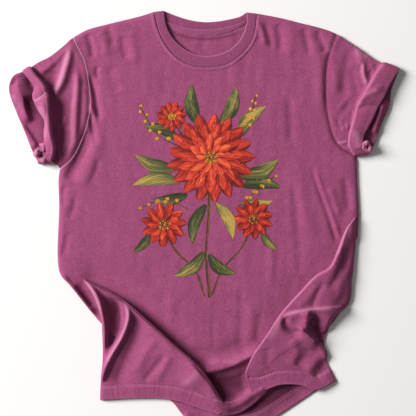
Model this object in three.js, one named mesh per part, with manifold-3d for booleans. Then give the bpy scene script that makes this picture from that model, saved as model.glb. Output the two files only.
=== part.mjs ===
// A short-sleeved crew-neck T-shirt of garment-dyed cotton jersey, lying on its back. The cuffs are rolled up
// and the bottom is pushed up, so that the front panel lies in two big folds over itself.
// Millimetres, +Z up, neck towards +Y. The origin is the middle of the shirt's box, on the surface under it.
import * as THREE from 'three';
import { mergeVertices } from 'three/addons/utils/BufferGeometryUtils.js';
import Module from 'manifold-3d';

const CLOTH = 1.0;             // thickness of the jersey with its loft
const RIB = 1.6;               // thickness of the neck rib
const CUFF = 2.6;              // thickness of a sleeve end rolled up twice
const SEAM_GAP = 1.8;          // clearance between the rib and what it is sewn to
const ARMHOLE_GAP = 1.8;       // clearance between a sleeve and the body at the armhole
const TAPE_GAP = 0.3;          // clearance between the neck tape and the back panel
const FRONT_HEIGHT = 7.0;      // middle of the front panel over the body
const EDGE_HEIGHT = 2.0;       // middle of the front panel at the side and shoulder seams
const EDGE_ROLL = 13;          // how far in from those seams the front panel rolls up to its height
const FOLD_RADIUS = 5;         // radius of a fold's crest
const FOLD_RETURN = 16;        // how far the cloth runs back under a crest
const LEFT_EDGE_LIFT = 9;      // height of the left fold's side edge where it leaves the crest
const SLEEVE_HEIGHT = 15;      // top of a sleeve where its cuff begins
const CUFF_HEIGHTS = [17, 20]; // top of a cuff at its inner edge and at its mouth
const SIDE_HEIGHTS = [2.6, 6]; // height of a sleeve's two side folds at the armhole and along the cuff
const CUFF_UNDER_RUN = 30;     // how far the underside of a cuff reaches in from its mouth
const RIB_FOLD_HEIGHT = 4.2;   // height of the rib where it turns over at each side of the neck
const TAPE_WIDTH = 12;
const TAPE_DROP = 2;           // from the back neck seam down to the tape's upper edge
const TAPE_ENDS = [0.12, 0.88]; // the shares of the back neck seam that the tape covers

// Outlines in plan, as [x, y], seen from above
const LEFT_SHOULDER = [[-236, 327], [-223, 335], [-209, 342], [-160, 355], [-115, 366], [-90, 374]];
const NECK_SEAM = [[-90, 374], [-81, 338], [-72, 320], [-58, 301], [-40, 286], [-16, 276], [5, 274],
  [29, 276], [50, 284], [70, 301], [85, 320], [92, 342], [95, 371]];
const RIGHT_SHOULDER = [[95, 371], [137, 363], [173, 354], [209, 345], [227, 339], [238, 334]];
const LEFT_ARMHOLE = [[-236, 327], [-229, 313], [-214, 279], [-205, 220], [-207, 187], [-218, 149],
  [-238, 110], [-258, 93]];
const RIGHT_ARMHOLE = [[238, 334], [232, 320], [221, 283], [218, 229], [222, 184], [234, 144],
  [247, 128], [274, 113]];
const LEFT_SIDE = [[-258, 93], [-261, 76], [-260, 27], [-259, -95], [-241, -117], [-205, -162], [-188, -182]];
const RIGHT_SIDE = [[274, 113], [275, 72], [278, 7], [276, -30]];
const BODY_FOOT = [[-188, -182], [-142, -225], [-79, -274], [-30, -312], [2, -339], [16, -346], [43, -351],
  [65, -346], [92, -328], [112, -308], [146, -274], [182, -216], [218, -153], [250, -85], [276, -30]];
const LEFT_CREST = [[-218, -105], [-187, -119], [-142, -144], [-106, -174], [-52, -223], [-16, -254],
  [7, -281], [40, -335]];
const LEFT_FOLD_EDGE = [[-218, -105], [-200, -135], [-184, -180], [-182, -252], [-185, -284], [-186, -324]];
const LEFT_HEM = [[-186, -324], [-124, -320], [-79, -321], [-43, -326], [-7, -338], [27, -349]];
const LEFT_HEM_END = [[40, -335], [35, -343], [27, -349]];
const RIGHT_CREST = [[74, -274], [86, -245], [115, -202], [136, -169], [173, -127], [200, -99], [225, -83],
  [238, -56], [256, -14], [274, 8]];
const RIGHT_FOLD_EDGE = [[274, 8], [273, -36], [266, -108], [261, -149], [236, -175], [224, -195],
  [216, -224], [222, -240], [221, -255], [229, -274], [237, -290]];
const RIGHT_HEM = [[83, -306], [106, -305], [137, -295], [173, -296], [200, -305], [237, -290]];
const RIGHT_HEM_END = [[74, -274], [79, -292], [83, -306]];
const BACK_HEM = [[237, -290], [209, -303], [182, -320], [146, -344], [104, -369], [65, -379], [20, -380],
  [-13, -371], [-36, -353], [-65, -322], [-124, -320], [-186, -324]];

const RIB_FRONT_EDGE = [[-72, 376], [-71, 364], [-67, 346], [-58, 329], [-43, 313], [-25, 301],
  [-7, 295], [14, 295], [32, 299], [49, 308], [65, 324], [74, 344], [77, 360], [76, 373]];
const RIB_BACK_EDGE = [[76, 373], [65, 366], [50, 362], [29, 358], [5, 356], [-16, 358], [-34, 362],
  [-52, 368], [-65, 373], [-72, 376]];
const BACK_NECK_SEAM = [[95, 371], [81, 362], [65, 353], [43, 346], [20, 342], [-7, 341], [-31, 344],
  [-49, 349], [-67, 356], [-79, 363], [-90, 374]];

const LEFT_SLEEVE_FOLD = [[-236, 327], [-254, 311], [-277, 293], [-295, 284], [-312, 273]];
const LEFT_UNDERARM = [[-258, 93], [-266, 101], [-274, 105]];
const LEFT_CUFF_TOP = [[-312, 273], [-304, 261], [-282, 232], [-277, 189], [-273, 151], [-268, 126],
  [-274, 105]];
const LEFT_MOUTH_TOP = [[-324, 267], [-312, 257], [-306, 236], [-313, 221], [-304, 196], [-288, 176],
  [-292, 160], [-290, 130], [-298, 104]];
const LEFT_MOUTH_UNDER = [[-324, 267], [-342, 259], [-350, 241], [-348, 223], [-333, 185], [-320, 155],
  [-310, 128], [-298, 104]];
const RIGHT_SLEEVE_FOLD = [[238, 334], [263, 318], [281, 306], [306, 288], [322, 281]];
const RIGHT_UNDERARM = [[274, 113], [272, 115], [269, 117]];
const RIGHT_CUFF_TOP = [[322, 281], [308, 263], [292, 234], [274, 202], [270, 185], [261, 148], [260, 135],
  [269, 117]];
const RIGHT_MOUTH_TOP = [[350, 270], [340, 254], [331, 239], [324, 223], [311, 200], [302, 180], [293, 164],
  [286, 150], [286, 134], [298, 122]];
const RIGHT_MOUTH_UNDER = [[350, 270], [345, 256], [338, 241], [332, 202], [322, 180], [315, 162], [306, 136],
  [298, 122]];

const DYED_JERSEY = { color: 0x974c70, roughness: 0.92, metalness: 0 };
const DYED_RIB = { color: 0x934c6d, roughness: 0.9, metalness: 0 };
const DYED_TAPE = { color: 0xa4587c, roughness: 0.92, metalness: 0 };

// A smooth line through the points, read by its share of length from 0 to 1
function line(points) {
  const curve = new THREE.CatmullRomCurve3(points.map(([x, y, z = 0]) => new THREE.Vector3(x, y, z)), false,
    'centripetal');
  curve.arcLengthDivisions = 400;
  return (share) => curve.getPointAt(THREE.MathUtils.clamp(share, 0, 1));
}

// Lines joined end to end, each taking the part of 0 to 1 between its breaks
function chain(lines, breaks) {
  return (share) => {
    let piece = 0;
    while (piece < lines.length - 1 && share > breaks[piece + 1]) piece += 1;
    return lines[piece]((share - breaks[piece]) / (breaks[piece + 1] - breaks[piece]));
  };
}

// A surface stretched between four edges: u runs along top and bottom, v down the left and right edges
function patch(top, bottom, left, right) {
  const corners = [top(0), top(1), bottom(0), bottom(1)];
  return (u, v) => {
    const point = top(u).multiplyScalar(1 - v).addScaledVector(bottom(u), v);
    point.addScaledVector(left(v), 1 - u).addScaledVector(right(v), u);
    point.addScaledVector(corners[0], -(1 - u) * (1 - v)).addScaledVector(corners[1], -u * (1 - v));
    return point.addScaledVector(corners[2], -(1 - u) * v).addScaledVector(corners[3], -u * v);
  };
}

// Even steps between the breaks, with close ones added at either end where the cloth rolls
function steps(counts, breaks = [0, 1], atStart = [], atEnd = []) {
  const shares = counts.flatMap((count, k) => Array.from({ length: count },
    (_, i) => THREE.MathUtils.lerp(breaks[k], breaks[k + 1], i / count)));
  return [...shares, 1, ...atStart, ...atEnd.map((share) => 1 - share)].sort((a, b) => a - b);
}

// How far a place is in plan from a line
function distanceTo(path, count = 40) {
  const dots = Array.from({ length: count + 1 }, (_, i) => path(i / count));
  return (x, y) => {
    let nearest = Infinity;
    for (let i = 0; i < count; i += 1) {
      const ax = dots[i].x;
      const ay = dots[i].y;
      const bx = dots[i + 1].x - ax;
      const by = dots[i + 1].y - ay;
      const along = THREE.MathUtils.clamp(((x - ax) * bx + (y - ay) * by) / (bx * bx + by * by), 0, 1);
      nearest = Math.min(nearest, Math.hypot(x - ax - along * bx, y - ay - along * by));
    }
    return nearest;
  };
}

// A soft ridge, or with a negative height a valley, along a line in plan
function ridge(points, height, reach) {
  const distance = distanceTo(line(points), 16);
  return (x, y) => height * Math.exp(-((distance(x, y) / reach) ** 2));
}

const sumOf = (ridges) => (x, y) => ridges.reduce((sum, one) => sum + one(x, y), 0);
const rollShare = (distance, reach) => Math.sqrt(1 - (1 - Math.min(distance / reach, 1)) ** 2);
const mix = THREE.MathUtils.lerp;
const NEARBY = 0.01;           // share of a line between the two places that give its direction
const smooth = (share) => share * share * (3 - 2 * share);

// Cloth of a given thickness about a grid of middle points. A tube is closed from its last column to its
// first.
function cloth(middle, thickness, tube = false) {
  const rows = middle.length;
  const columns = middle[0].length;
  const at = (i, j) => middle[THREE.MathUtils.clamp(i, 0, rows - 1)][
    tube ? (j + columns) % columns : THREE.MathUtils.clamp(j, 0, columns - 1)];
  const positions = [];
  for (const side of [0.5, -0.5]) {
    for (let i = 0; i < rows; i += 1) {
      for (let j = 0; j < columns; j += 1) {
        const across = new THREE.Vector3().subVectors(at(i, j + 1), at(i, j - 1));
        const down = new THREE.Vector3().subVectors(at(i + 1, j), at(i - 1, j));
        const normal = down.cross(across).normalize();
        const wall = typeof thickness === 'function' ? thickness(i, j) : thickness;
        positions.push(...at(i, j).clone().addScaledVector(normal, side * wall).toArray());
      }
    }
  }
  const outer = (i, j) => i * columns + ((j + columns) % columns);
  const inner = (i, j) => rows * columns + outer(i, j);
  const index = [];
  const quad = (a, b, c, d) => index.push(a, b, c, a, c, d);
  const lastColumn = tube ? columns : columns - 1;
  for (let i = 0; i < rows - 1; i += 1) {
    for (let j = 0; j < lastColumn; j += 1) {
      quad(outer(i, j), outer(i + 1, j), outer(i + 1, j + 1), outer(i, j + 1));
      quad(inner(i, j), inner(i, j + 1), inner(i + 1, j + 1), inner(i + 1, j));
    }
    if (!tube) {
      const last = columns - 1;
      quad(outer(i, 0), inner(i, 0), inner(i + 1, 0), outer(i + 1, 0));
      quad(outer(i, last), outer(i + 1, last), inner(i + 1, last), inner(i, last));
    }
  }
  for (let j = 0; j < lastColumn; j += 1) {
    quad(outer(0, j), outer(0, j + 1), inner(0, j + 1), inner(0, j));
    quad(outer(rows - 1, j), inner(rows - 1, j), inner(rows - 1, j + 1), outer(rows - 1, j + 1));
  }
  const geometry = new THREE.BufferGeometry();
  geometry.setAttribute('position', new THREE.Float32BufferAttribute(positions, 3));
  geometry.setIndex(index);
  return geometry;
}

const wasm = await Module();
wasm.setup();

function toSolid(geometry) {
  const bare = geometry.clone();
  bare.deleteAttribute('normal');
  bare.deleteAttribute('uv');
  const merged = mergeVertices(bare, 1e-4);
  return new wasm.Manifold(new wasm.Mesh({
    numProp: 3,
    vertProperties: new Float32Array(merged.attributes.position.array),
    triVerts: new Uint32Array(merged.index.array),
  }));
}

function toGeometry(solid) {
  const mesh = solid.getMesh();
  const geometry = new THREE.BufferGeometry();
  geometry.setAttribute('position', new THREE.BufferAttribute(mesh.vertProperties, 3));
  geometry.setIndex(new THREE.BufferAttribute(mesh.triVerts, 1));
  return geometry;
}

const group = new THREE.Group();

function addPiece(name, geometry, finish) {
  const piece = new THREE.Mesh(geometry, new THREE.MeshStandardMaterial(finish));
  piece.name = name;
  group.add(piece);
}

const leftShoulder = line(LEFT_SHOULDER);
const rightShoulder = line(RIGHT_SHOULDER);
const neckSeam = line(NECK_SEAM);
const leftSide = line(LEFT_SIDE);
const rightSide = line(RIGHT_SIDE);
const leftCrest = line(LEFT_CREST);
const rightCrest = line(RIGHT_CREST);
const leftFoldEdge = line(LEFT_FOLD_EDGE);
const rightFoldEdge = line(RIGHT_FOLD_EDGE);

// Front panel over the body, down to where it runs in under the folds, with the small roll between them
const NECK_BREAKS = [0, 0.31, 0.7, 1];
const SIDE_BREAKS = [0, 0.5, 1];
const bodyRelief = sumOf([
  ridge([[-20, -272], [20, -271], [56, -266], [83, -256], [100, -240]], 6, 8),
  ridge([[10, -305], [40, -304], [70, -296]], -3.5, 20),
  ridge([[2, -334], [43, -345], [75, -335]], 3, 8),
  ridge([[-200, -150], [-150, -195], [-90, -240], [-40, -290]], -3.5, 34),
  ridge([[125, -270], [165, -210], [205, -150], [245, -80], [262, -30]], -3.5, 34),
]);
const BODY_COLUMNS = [5, 14, 5];
const BODY_ROWS = 20;
const BODY_CLOSE_STEPS = [0.004, 0.012];
const bodyRolls = [leftShoulder, rightShoulder, leftSide, rightSide].map((edge) => distanceTo(edge));

function bodyHeight(x, y) {
  const free = Math.max(FRONT_HEIGHT + bodyRelief(x, y), EDGE_HEIGHT);
  const nearest = Math.min(...bodyRolls.map((distance) => distance(x, y)));
  return mix(EDGE_HEIGHT, free, rollShare(nearest, EDGE_ROLL));
}

function frontBody() {
  const top = chain([leftShoulder, neckSeam, rightShoulder], NECK_BREAKS);
  const left = chain([line(LEFT_ARMHOLE), leftSide], SIDE_BREAKS);
  const right = chain([line(RIGHT_ARMHOLE), rightSide], SIDE_BREAKS);
  const place = patch(top, line(BODY_FOOT), left, right);
  const columns = steps(BODY_COLUMNS, NECK_BREAKS, BODY_CLOSE_STEPS, BODY_CLOSE_STEPS);
  const middle = steps([BODY_ROWS], [0, 1], BODY_CLOSE_STEPS).map((v) => columns.map((u) => {
    const point = place(u, v);
    point.z = bodyHeight(point.x, point.y);
    return point;
  }));
  return cloth(middle, CLOTH);
}

const FOLD_COLUMNS = 14;
const FOLD_ROWS = 11;
const FOLD_CLOSE_STEPS = [0.012, 0.03];
const EDGE_TURN_SHARE = 0.3;   // part of a crest over which its returning cloth turns along the side edge
const CREST_ROOM = 2.2;        // a crest's height over the body cloth, in radii, where the fold is low
const RELIEF_START = 1 / 6;    // part of a fold's depth over which its ridges rise from the crest
const BEDDED = 0.2;            // how far the returning cloth is sunk into the body cloth that it grows from

// A crest's turn from below, as [radii inwards, radii up from its middle]
const ROLL_TURN = [[1, -1], [0.29, -0.71], [0, 0], [0.29, 0.71]];

// One big fold of the front panel: the cloth comes out from under itself, rolls over a crest and runs down
// to the hem
function frontFold({ crest, hem, left, right, crestHeight, hemHeight, relief, edge, edgeHeight, edgeShare }) {
  const closeAt = (share) => (edgeShare === share ? FOLD_CLOSE_STEPS : []);
  const columns = steps([FOLD_COLUMNS], [0, 1], closeAt(0), closeAt(1));
  const edgeDistance = distanceTo(edge);
  const settle = (x, y, z, v) => {
    const low = Math.min(z, edgeHeight(v));
    return mix(low, z, rollShare(edgeDistance(x, y), EDGE_ROLL));
  };
  const inward = (u) => {
    const along = crest(u + NEARBY).sub(crest(u - NEARBY));
    const square = new THREE.Vector3(along.y, -along.x, 0).normalize();
    const down = hem(u).sub(crest(u)).normalize();
    const fromEdge = Math.min(Math.abs(u - edgeShare) / EDGE_TURN_SHARE, 1);
    return square.lerp(down, smooth(1 - fromEdge)).normalize();
  };
  const radiusAt = (u) => Math.min(FOLD_RADIUS, (crestHeight(u) - FRONT_HEIGHT + CLOTH) / CREST_ROOM);
  const top = (u) => crest(u).addScaledVector(inward(u), radiusAt(u));
  const place = patch(top, hem, left, right);
  const returned = columns.map((u) => {
    const point = crest(u).addScaledVector(inward(u), 2 * radiusAt(u) + FOLD_RETURN);
    point.z = settle(point.x, point.y, bodyHeight(point.x, point.y) - BEDDED, 0);
    return point;
  });
  const rolled = ROLL_TURN.map(([across, up]) => columns.map((u) => {
    const radius = radiusAt(u);
    const point = crest(u).addScaledVector(inward(u), across * radius);
    point.z = settle(point.x, point.y, crestHeight(u) - radius + up * radius, 0);
    return point;
  }));
  const rows = [returned, ...rolled];
  steps([FOLD_ROWS]).forEach((v) => rows.push(columns.map((u) => {
    const point = place(u, v);
    const gain = relief(point.x, point.y) * Math.min(1, v / RELIEF_START);
    const z = mix(crestHeight(u), hemHeight(u), smooth(v)) + gain;
    point.z = settle(point.x, point.y, Math.max(z, EDGE_HEIGHT), v);
    return point;
  })));
  return cloth(rows, CLOTH);
}

const rise = (knots) => (share) => line(knots)(share).y;

const leftFold = frontFold({
  crest: leftCrest,
  hem: line(LEFT_HEM),
  left: leftFoldEdge,
  right: line(LEFT_HEM_END),
  crestHeight: rise([[0, 12], [20, 17], [45, 21], [75, 20], [100, 11]]),
  hemHeight: rise([[0, 4.5], [50, 5.5], [100, 8]]),
  relief: sumOf([
    ridge([[-146, -144], [-137, -175], [-146, -210], [-169, -250], [-180, -275]], 6, 13),
    ridge([[-165, -160], [-163, -200], [-175, -235]], -4, 14),
    ridge([[-118, -175], [-125, -215], [-145, -255]], -5, 13),
  ]),
  edge: leftFoldEdge,
  edgeShare: 0,
  edgeHeight: (v) => mix(LEFT_EDGE_LIFT, EDGE_HEIGHT, Math.min(1, 3 * v)),
});

const rightFold = frontFold({
  crest: rightCrest,
  hem: line(RIGHT_HEM),
  left: line(RIGHT_HEM_END),
  right: rightFoldEdge,
  crestHeight: rise([[0, 16], [30, 21], [60, 23], [80, 22], [100, 12]]),
  hemHeight: rise([[0, 9], [50, 8], [100, 4]]),
  relief: sumOf([
    ridge([[137, -169], [173, -163], [209, -158], [250, -158]], 6, 10),
    ridge([[180, -186], [205, -198], [225, -204]], -8, 12),
    ridge([[148, -187], [160, -201], [176, -200]], -5, 7),
    ridge([[176, -203], [196, -216], [214, -228]], 5, 9),
  ]),
  edge: rightFoldEdge,
  edgeShare: 1,
  edgeHeight: () => EDGE_HEIGHT,
});

// The folds grow out of the body cloth: one body is kept, and the small pockets where they join are filled
const frontShells = toSolid(frontBody()).add(toSolid(leftFold)).add(toSolid(rightFold)).decompose();
const larger = (one, other) => (other.volume() > one.volume() ? other : one);
const frontPanel = frontShells.reduce(larger);
addPiece('front_panel', toGeometry(frontPanel), DYED_JERSEY);

// Back panel: one flat piece of jersey under everything, longer at the bottom than the front
function backPanel() {
  const outline = new THREE.Shape();
  const edges = [
    [LEFT_ARMHOLE, 12], [LEFT_SIDE, 14], [LEFT_FOLD_EDGE.slice(2), 6], [[...BACK_HEM].reverse(), 26],
    [[...RIGHT_FOLD_EDGE].reverse(), 16], [[...RIGHT_SIDE].reverse().slice(1), 4],
    [[...RIGHT_ARMHOLE].reverse(), 12], [[...RIGHT_SHOULDER].reverse(), 8], [BACK_NECK_SEAM, 18],
    [[...LEFT_SHOULDER].reverse(), 8],
  ];
  const corners = edges.flatMap(([points, count]) => {
    const edge = line(points);
    return Array.from({ length: count }, (_, i) => edge(i / count));
  });
  outline.setFromPoints(corners);
  outline.closePath();
  return new THREE.ExtrudeGeometry(outline, { depth: CLOTH, bevelEnabled: false });
}

addPiece('back_panel', backPanel(), DYED_JERSEY);

const AROUND = 22;
const SLEEVE_ROWS = [0, 0.08, 0.2, 0.35, 0.5, 0.65, 0.8, 0.92, 1];
const CUFF_ROWS = [0.12, 0.35, 0.6, 0.82, 1];
const UPPER_ROUNDNESS = 0.55;  // powers of the section's sine: the lower they are, the boxier the section
const UNDER_ROUNDNESS = 0.35;
const UNDERSIDE_GAP = 0.15;    // clearance below a sleeve's wall

// A sleeve: a flattened tube from its armhole seam to its rolled cuff, which stands open
function sleeve({ side, armhole, fold, underarm, cuffTop, mouthTop, mouthUnder }) {
  const seam = line(armhole);
  const outward = (v) => {
    const along = seam(v + NEARBY).sub(seam(v - NEARBY));
    return new THREE.Vector3(-side * along.y, side * along.x, 0).setLength(ARMHOLE_GAP);
  };
  const armholeEnd = (v) => seam(v).add(outward(v));
  const cuffStart = line(cuffTop);
  const mouthAbove = line(mouthTop);
  const mouthBelow = line(mouthUnder);
  const foldLine = line(fold);
  const underarmLine = line(underarm);
  const cuffUnder = (v) => {
    const run = CUFF_UNDER_RUN * Math.sin(Math.PI * v);
    return mouthBelow(v).add(new THREE.Vector3(-side * run, 0, 0));
  };
  const straight = (from, to) => (share) => from.clone().lerp(to, share);
  const between = (first, second) => patch(first, second, straight(first(0), second(0)),
    straight(first(1), second(1)));
  const upperEdge = (share) => foldLine(share).addScaledVector(outward(0), 1 - share);
  const lowerEdge = (share) => underarmLine(share).addScaledVector(outward(1), 1 - share);
  const sleeveHalves = {
    upper: patch(armholeEnd, cuffStart, upperEdge, lowerEdge),
    under: patch(armholeEnd, cuffUnder, upperEdge, lowerEdge),
  };
  const cuffHalves = { upper: between(cuffStart, mouthAbove), under: between(cuffUnder, mouthBelow) };

  const ring = (halves, down, top, middleHeight, wall) => Array.from({ length: AROUND }, (_, j) => {
    const angle = (2 * Math.PI * j) / AROUND;
    const half = angle <= Math.PI ? 'upper' : 'under';
    const point = halves[half]((1 - Math.cos(angle)) / 2, down);
    const roundness = half === 'upper' ? UPPER_ROUNDNESS : UNDER_ROUNDNESS;
    const far = half === 'upper' ? top : wall / 2 + UNDERSIDE_GAP;
    point.z = mix(middleHeight, far, Math.abs(Math.sin(angle)) ** roundness);
    return point;
  });
  const [seamSide, cuffSide] = SIDE_HEIGHTS;
  const sleeveRings = SLEEVE_ROWS.map((down) => {
    const top = mix(FRONT_HEIGHT, SLEEVE_HEIGHT, smooth(down));
    return ring(sleeveHalves, down, top, mix(seamSide, cuffSide, down), CLOTH);
  });
  const cuffRings = CUFF_ROWS.map((down) => {
    const top = mix(...CUFF_HEIGHTS, down);
    return ring(cuffHalves, down, top, cuffSide, CUFF);
  });
  return cloth([...sleeveRings, ...cuffRings], (i) => (i < SLEEVE_ROWS.length ? CLOTH : CUFF), true);
}

addPiece('left_sleeve', sleeve({
  side: -1,
  armhole: LEFT_ARMHOLE,
  fold: LEFT_SLEEVE_FOLD,
  underarm: LEFT_UNDERARM,
  cuffTop: LEFT_CUFF_TOP,
  mouthTop: LEFT_MOUTH_TOP,
  mouthUnder: LEFT_MOUTH_UNDER,
}), DYED_JERSEY);

addPiece('right_sleeve', sleeve({
  side: 1,
  armhole: RIGHT_ARMHOLE,
  fold: RIGHT_SLEEVE_FOLD,
  underarm: RIGHT_UNDERARM,
  cuffTop: RIGHT_CUFF_TOP,
  mouthTop: RIGHT_MOUTH_TOP,
  mouthUnder: RIGHT_MOUTH_UNDER,
}), DYED_JERSEY);

const RIB_FRONT_STATIONS = 30;
const RIB_BACK_STATIONS = 18;
const RIB_TURN_SHARE = 1 / 7;  // part of the rib's length over which it rises or sinks from its side fold
const RIB_EDGE = 0.6;          // thickness of the rib's edges, as a share of RIB
const RIB_CLEARANCE = { front: 0.6, back: 0.1 };

// Neck rib: a closed band, flat over the front neck seam, folded at each side and flat again along the back
function neckRib() {
  const frontEdge = line(RIB_FRONT_EDGE);
  const backEdge = line(RIB_BACK_EDGE);
  const backSeam = line(BACK_NECK_SEAM);
  const stations = [];
  for (let i = 0; i <= RIB_FRONT_STATIONS; i += 1) {
    const share = i / RIB_FRONT_STATIONS;
    stations.push([frontEdge(share), neckSeam(share), share, FRONT_HEIGHT + RIB_CLEARANCE.front]);
  }
  for (let i = 1; i < RIB_BACK_STATIONS; i += 1) {
    const share = i / RIB_BACK_STATIONS;
    stations.push([backEdge(share), backSeam(share), share, RIB / 2 + RIB_CLEARANCE.back]);
  }
  const across = [0, 0.2, 0.8, 1];
  const middle = across.map((width) => stations.map(([free, sewn, share, flatHeight]) => {
    const toFree = free.clone().sub(sewn).normalize();
    const start = sewn.clone().addScaledVector(toFree, SEAM_GAP);
    const point = start.lerp(free, width);
    const fromFold = Math.min(share, 1 - share);
    point.z = mix(RIB_FOLD_HEIGHT, flatHeight, rollShare(fromFold, RIB_TURN_SHARE));
    return point;
  }));
  const isEdge = (i) => i === 0 || i === across.length - 1;
  return cloth(middle, (i) => (isEdge(i) ? RIB * RIB_EDGE : RIB), true);
}

addPiece('neck_rib', neckRib(), DYED_RIB);

const TAPE_STEPS = 16;
const TAPE_WALL = 0.9;         // the tape is pressed a little flatter than the jersey it is cut from

// Neck tape: a strip over the back neck seam, inside the shirt
function neckTape() {
  const seam = line(BACK_NECK_SEAM);
  const middle = [0, 0.5, 1].map((across) => steps([TAPE_STEPS]).map((share) => {
    const point = seam(mix(...TAPE_ENDS, share));
    point.y -= TAPE_DROP + across * TAPE_WIDTH;
    point.z = CLOTH + TAPE_GAP + CLOTH / 2;
    return point;
  }));
  return cloth(middle, CLOTH * TAPE_WALL);
}

addPiece('neck_tape', neckTape(), DYED_TAPE);

const box = new THREE.Box3().setFromObject(group);
group.position.set(-(box.min.x + box.max.x) / 2, -(box.min.y + box.max.y) / 2, -box.min.z);

export default group;
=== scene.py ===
import math

import bmesh
import bpy
import numpy as np
from mathutils import Matrix, Vector, noise
from mathutils.bvhtree import BVHTree


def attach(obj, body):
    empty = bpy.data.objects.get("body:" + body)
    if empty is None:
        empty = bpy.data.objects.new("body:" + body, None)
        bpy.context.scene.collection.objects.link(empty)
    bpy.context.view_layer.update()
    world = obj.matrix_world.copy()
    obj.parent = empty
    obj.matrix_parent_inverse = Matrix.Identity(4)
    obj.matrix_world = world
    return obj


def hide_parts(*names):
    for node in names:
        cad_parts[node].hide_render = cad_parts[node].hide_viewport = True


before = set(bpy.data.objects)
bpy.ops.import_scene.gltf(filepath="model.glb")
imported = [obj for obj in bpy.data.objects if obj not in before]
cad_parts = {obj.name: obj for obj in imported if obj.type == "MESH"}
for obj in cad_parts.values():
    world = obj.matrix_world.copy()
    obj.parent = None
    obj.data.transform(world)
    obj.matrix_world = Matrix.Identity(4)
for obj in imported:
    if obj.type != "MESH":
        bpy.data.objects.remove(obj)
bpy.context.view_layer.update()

# Front panel
# One piece of garment-dyed jersey knit, cut flat and sewn in at the shoulders, armholes and sides. Its lower
# part lies in two big folds over itself, and its bottom is turned up 24 mm and held by a twin-needle hem.
FRAME_SHIFT = (-0.84, 2.22)     # millimetres, from the outlines' own origin to the centre of the shirt's box
JERSEY = 0.0008
HEM = 0.0019
HEM_DEPTH = 0.024
FRONT_HEIGHT = 0.0070
EDGE_HEIGHT = 0.0020
EDGE_ROLL = 0.013
FOLD_RADIUS = 0.005
FOLD_RETURN = 0.016
CREASE_STEPS = 5
CREASE_FADE = 0.16              # the share of a crease's length over which it fades out at each end
PAINTED_LIGHT_FADE = 0.2
SEAM_GROOVE = 0.0016            # how far an armhole's seam pulls the cloth in, and how wide the dent is
SEAM_RIDGE = 0.0010
SEAM_REACH = 0.004
# How wide each armhole's seam line is: pale on the left, partly lost dye and partly painted highlight, and dark
# on the right as painted shade in its groove.
SEAM_LINE_WIDTH = 0.002
TURNED_BELOW = -0.25            # the body's edge is a turned hem below this place
HEM_BAND = 0.0006
HEM_DENT = 0.0010
HEM_PUCKER = 0.0005
NECK_BAND = 0.0010              # the seam allowance that shows as a raised band around the neck
NECK_BAND_WIDTH = 0.0045
NECK_DENT = 0.0014

LEFT_SHOULDER = [(-236, 327), (-223, 335), (-209, 342), (-160, 355), (-115, 366), (-90, 374)]
NECK_SEAM = [(-90, 374), (-81, 338), (-72, 320), (-58, 301), (-40, 286), (-16, 276), (5, 274), (29, 276),
             (50, 284), (70, 301), (85, 320), (92, 342), (95, 371)]
RIGHT_SHOULDER = [(95, 371), (137, 363), (173, 354), (209, 345), (227, 339), (238, 334)]
LEFT_ARMHOLE = [(-236, 327), (-229, 313), (-214, 279), (-205, 220), (-207, 187), (-218, 149), (-238, 110),
                (-258, 93)]
RIGHT_ARMHOLE = [(238, 334), (232, 320), (221, 283), (218, 229), (222, 184), (234, 144), (247, 128),
                 (274, 113)]
LEFT_SIDE = [(-258, 93), (-261, 76), (-260, 27), (-259, -95), (-241, -117), (-205, -162), (-188, -182)]
RIGHT_SIDE = [(274, 113), (275, 72), (278, 7), (276, -30)]
BODY_FOOT = [(-188, -182), (-142, -225), (-79, -274), (-30, -312), (2, -339), (16, -346), (43, -351),
             (65, -346), (92, -328), (112, -308), (146, -274), (182, -216), (218, -153), (250, -85),
             (276, -30)]
NECK_BREAKS = (0, 0.31, 0.7, 1)
SIDE_BREAKS = (0, 0.5, 1)


def smooth_line(points, steps=14):
    """Close points on a smooth line through the given ones, and each one's share of the line's length."""
    p = np.array(points, float)
    p = np.vstack([2 * p[0] - p[1], p, 2 * p[-1] - p[-2]])
    t = np.linspace(0, 1, steps, endpoint=False)[:, None]
    places = []
    for a, b, c, d in zip(p[:-3], p[1:-2], p[2:-1], p[3:]):
        before, here, after = (math.sqrt(np.linalg.norm(q - r)) for q, r in ((b, a), (c, b), (d, c)))
        start = here * ((b - a) / before - (c - a) / (before + here) + (c - b) / here)
        end = here * ((c - b) / here - (d - b) / (here + after) + (d - c) / after)
        bend = 3 * (c - b) - 2 * start - end
        places.append(b + start * t + bend * t**2 + (2 * (b - c) + start + end) * t**3)
    places = np.vstack([*places, p[-2:-1]])
    run = np.concatenate([[0], np.cumsum(np.linalg.norm(np.diff(places, axis=0), axis=1))])
    return places, run / run[-1]


def line(points, steps=14):
    """A smooth line in the frame, in metres, from points in millimetres."""
    places, shares = smooth_line(points, steps)
    return (places + FRAME_SHIFT) / 1000, shares


def along(path, share):
    places, shares = path
    return np.stack([np.interp(share, shares, places[:, k]) for k in (0, 1)], axis=-1)


def chain(paths, breaks):
    """Lines joined end to end, each taking the part of 0 to 1 between its breaks."""
    shares = [low + (high - low) * path[1] for path, low, high in zip(paths, breaks, breaks[1:])]
    return np.vstack([path[0] for path in paths]), np.concatenate(shares)


def patch(top, bottom, left, right, u, v):
    """Places on a surface stretched between four edges, which share their corners."""
    u, v = u[:, None], v[:, None]
    ends = (np.array([0.0]), np.array([1.0]))
    corners = [along(path, end) for path in (top, bottom) for end in ends]
    place = (1 - v) * along(top, u[:, 0]) + v * along(bottom, u[:, 0])
    place += (1 - u) * along(left, v[:, 0]) + u * along(right, v[:, 0])
    place -= (1 - u) * (1 - v) * corners[0] + u * (1 - v) * corners[1]
    return place - (1 - u) * v * corners[2] - u * v * corners[3]


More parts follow.
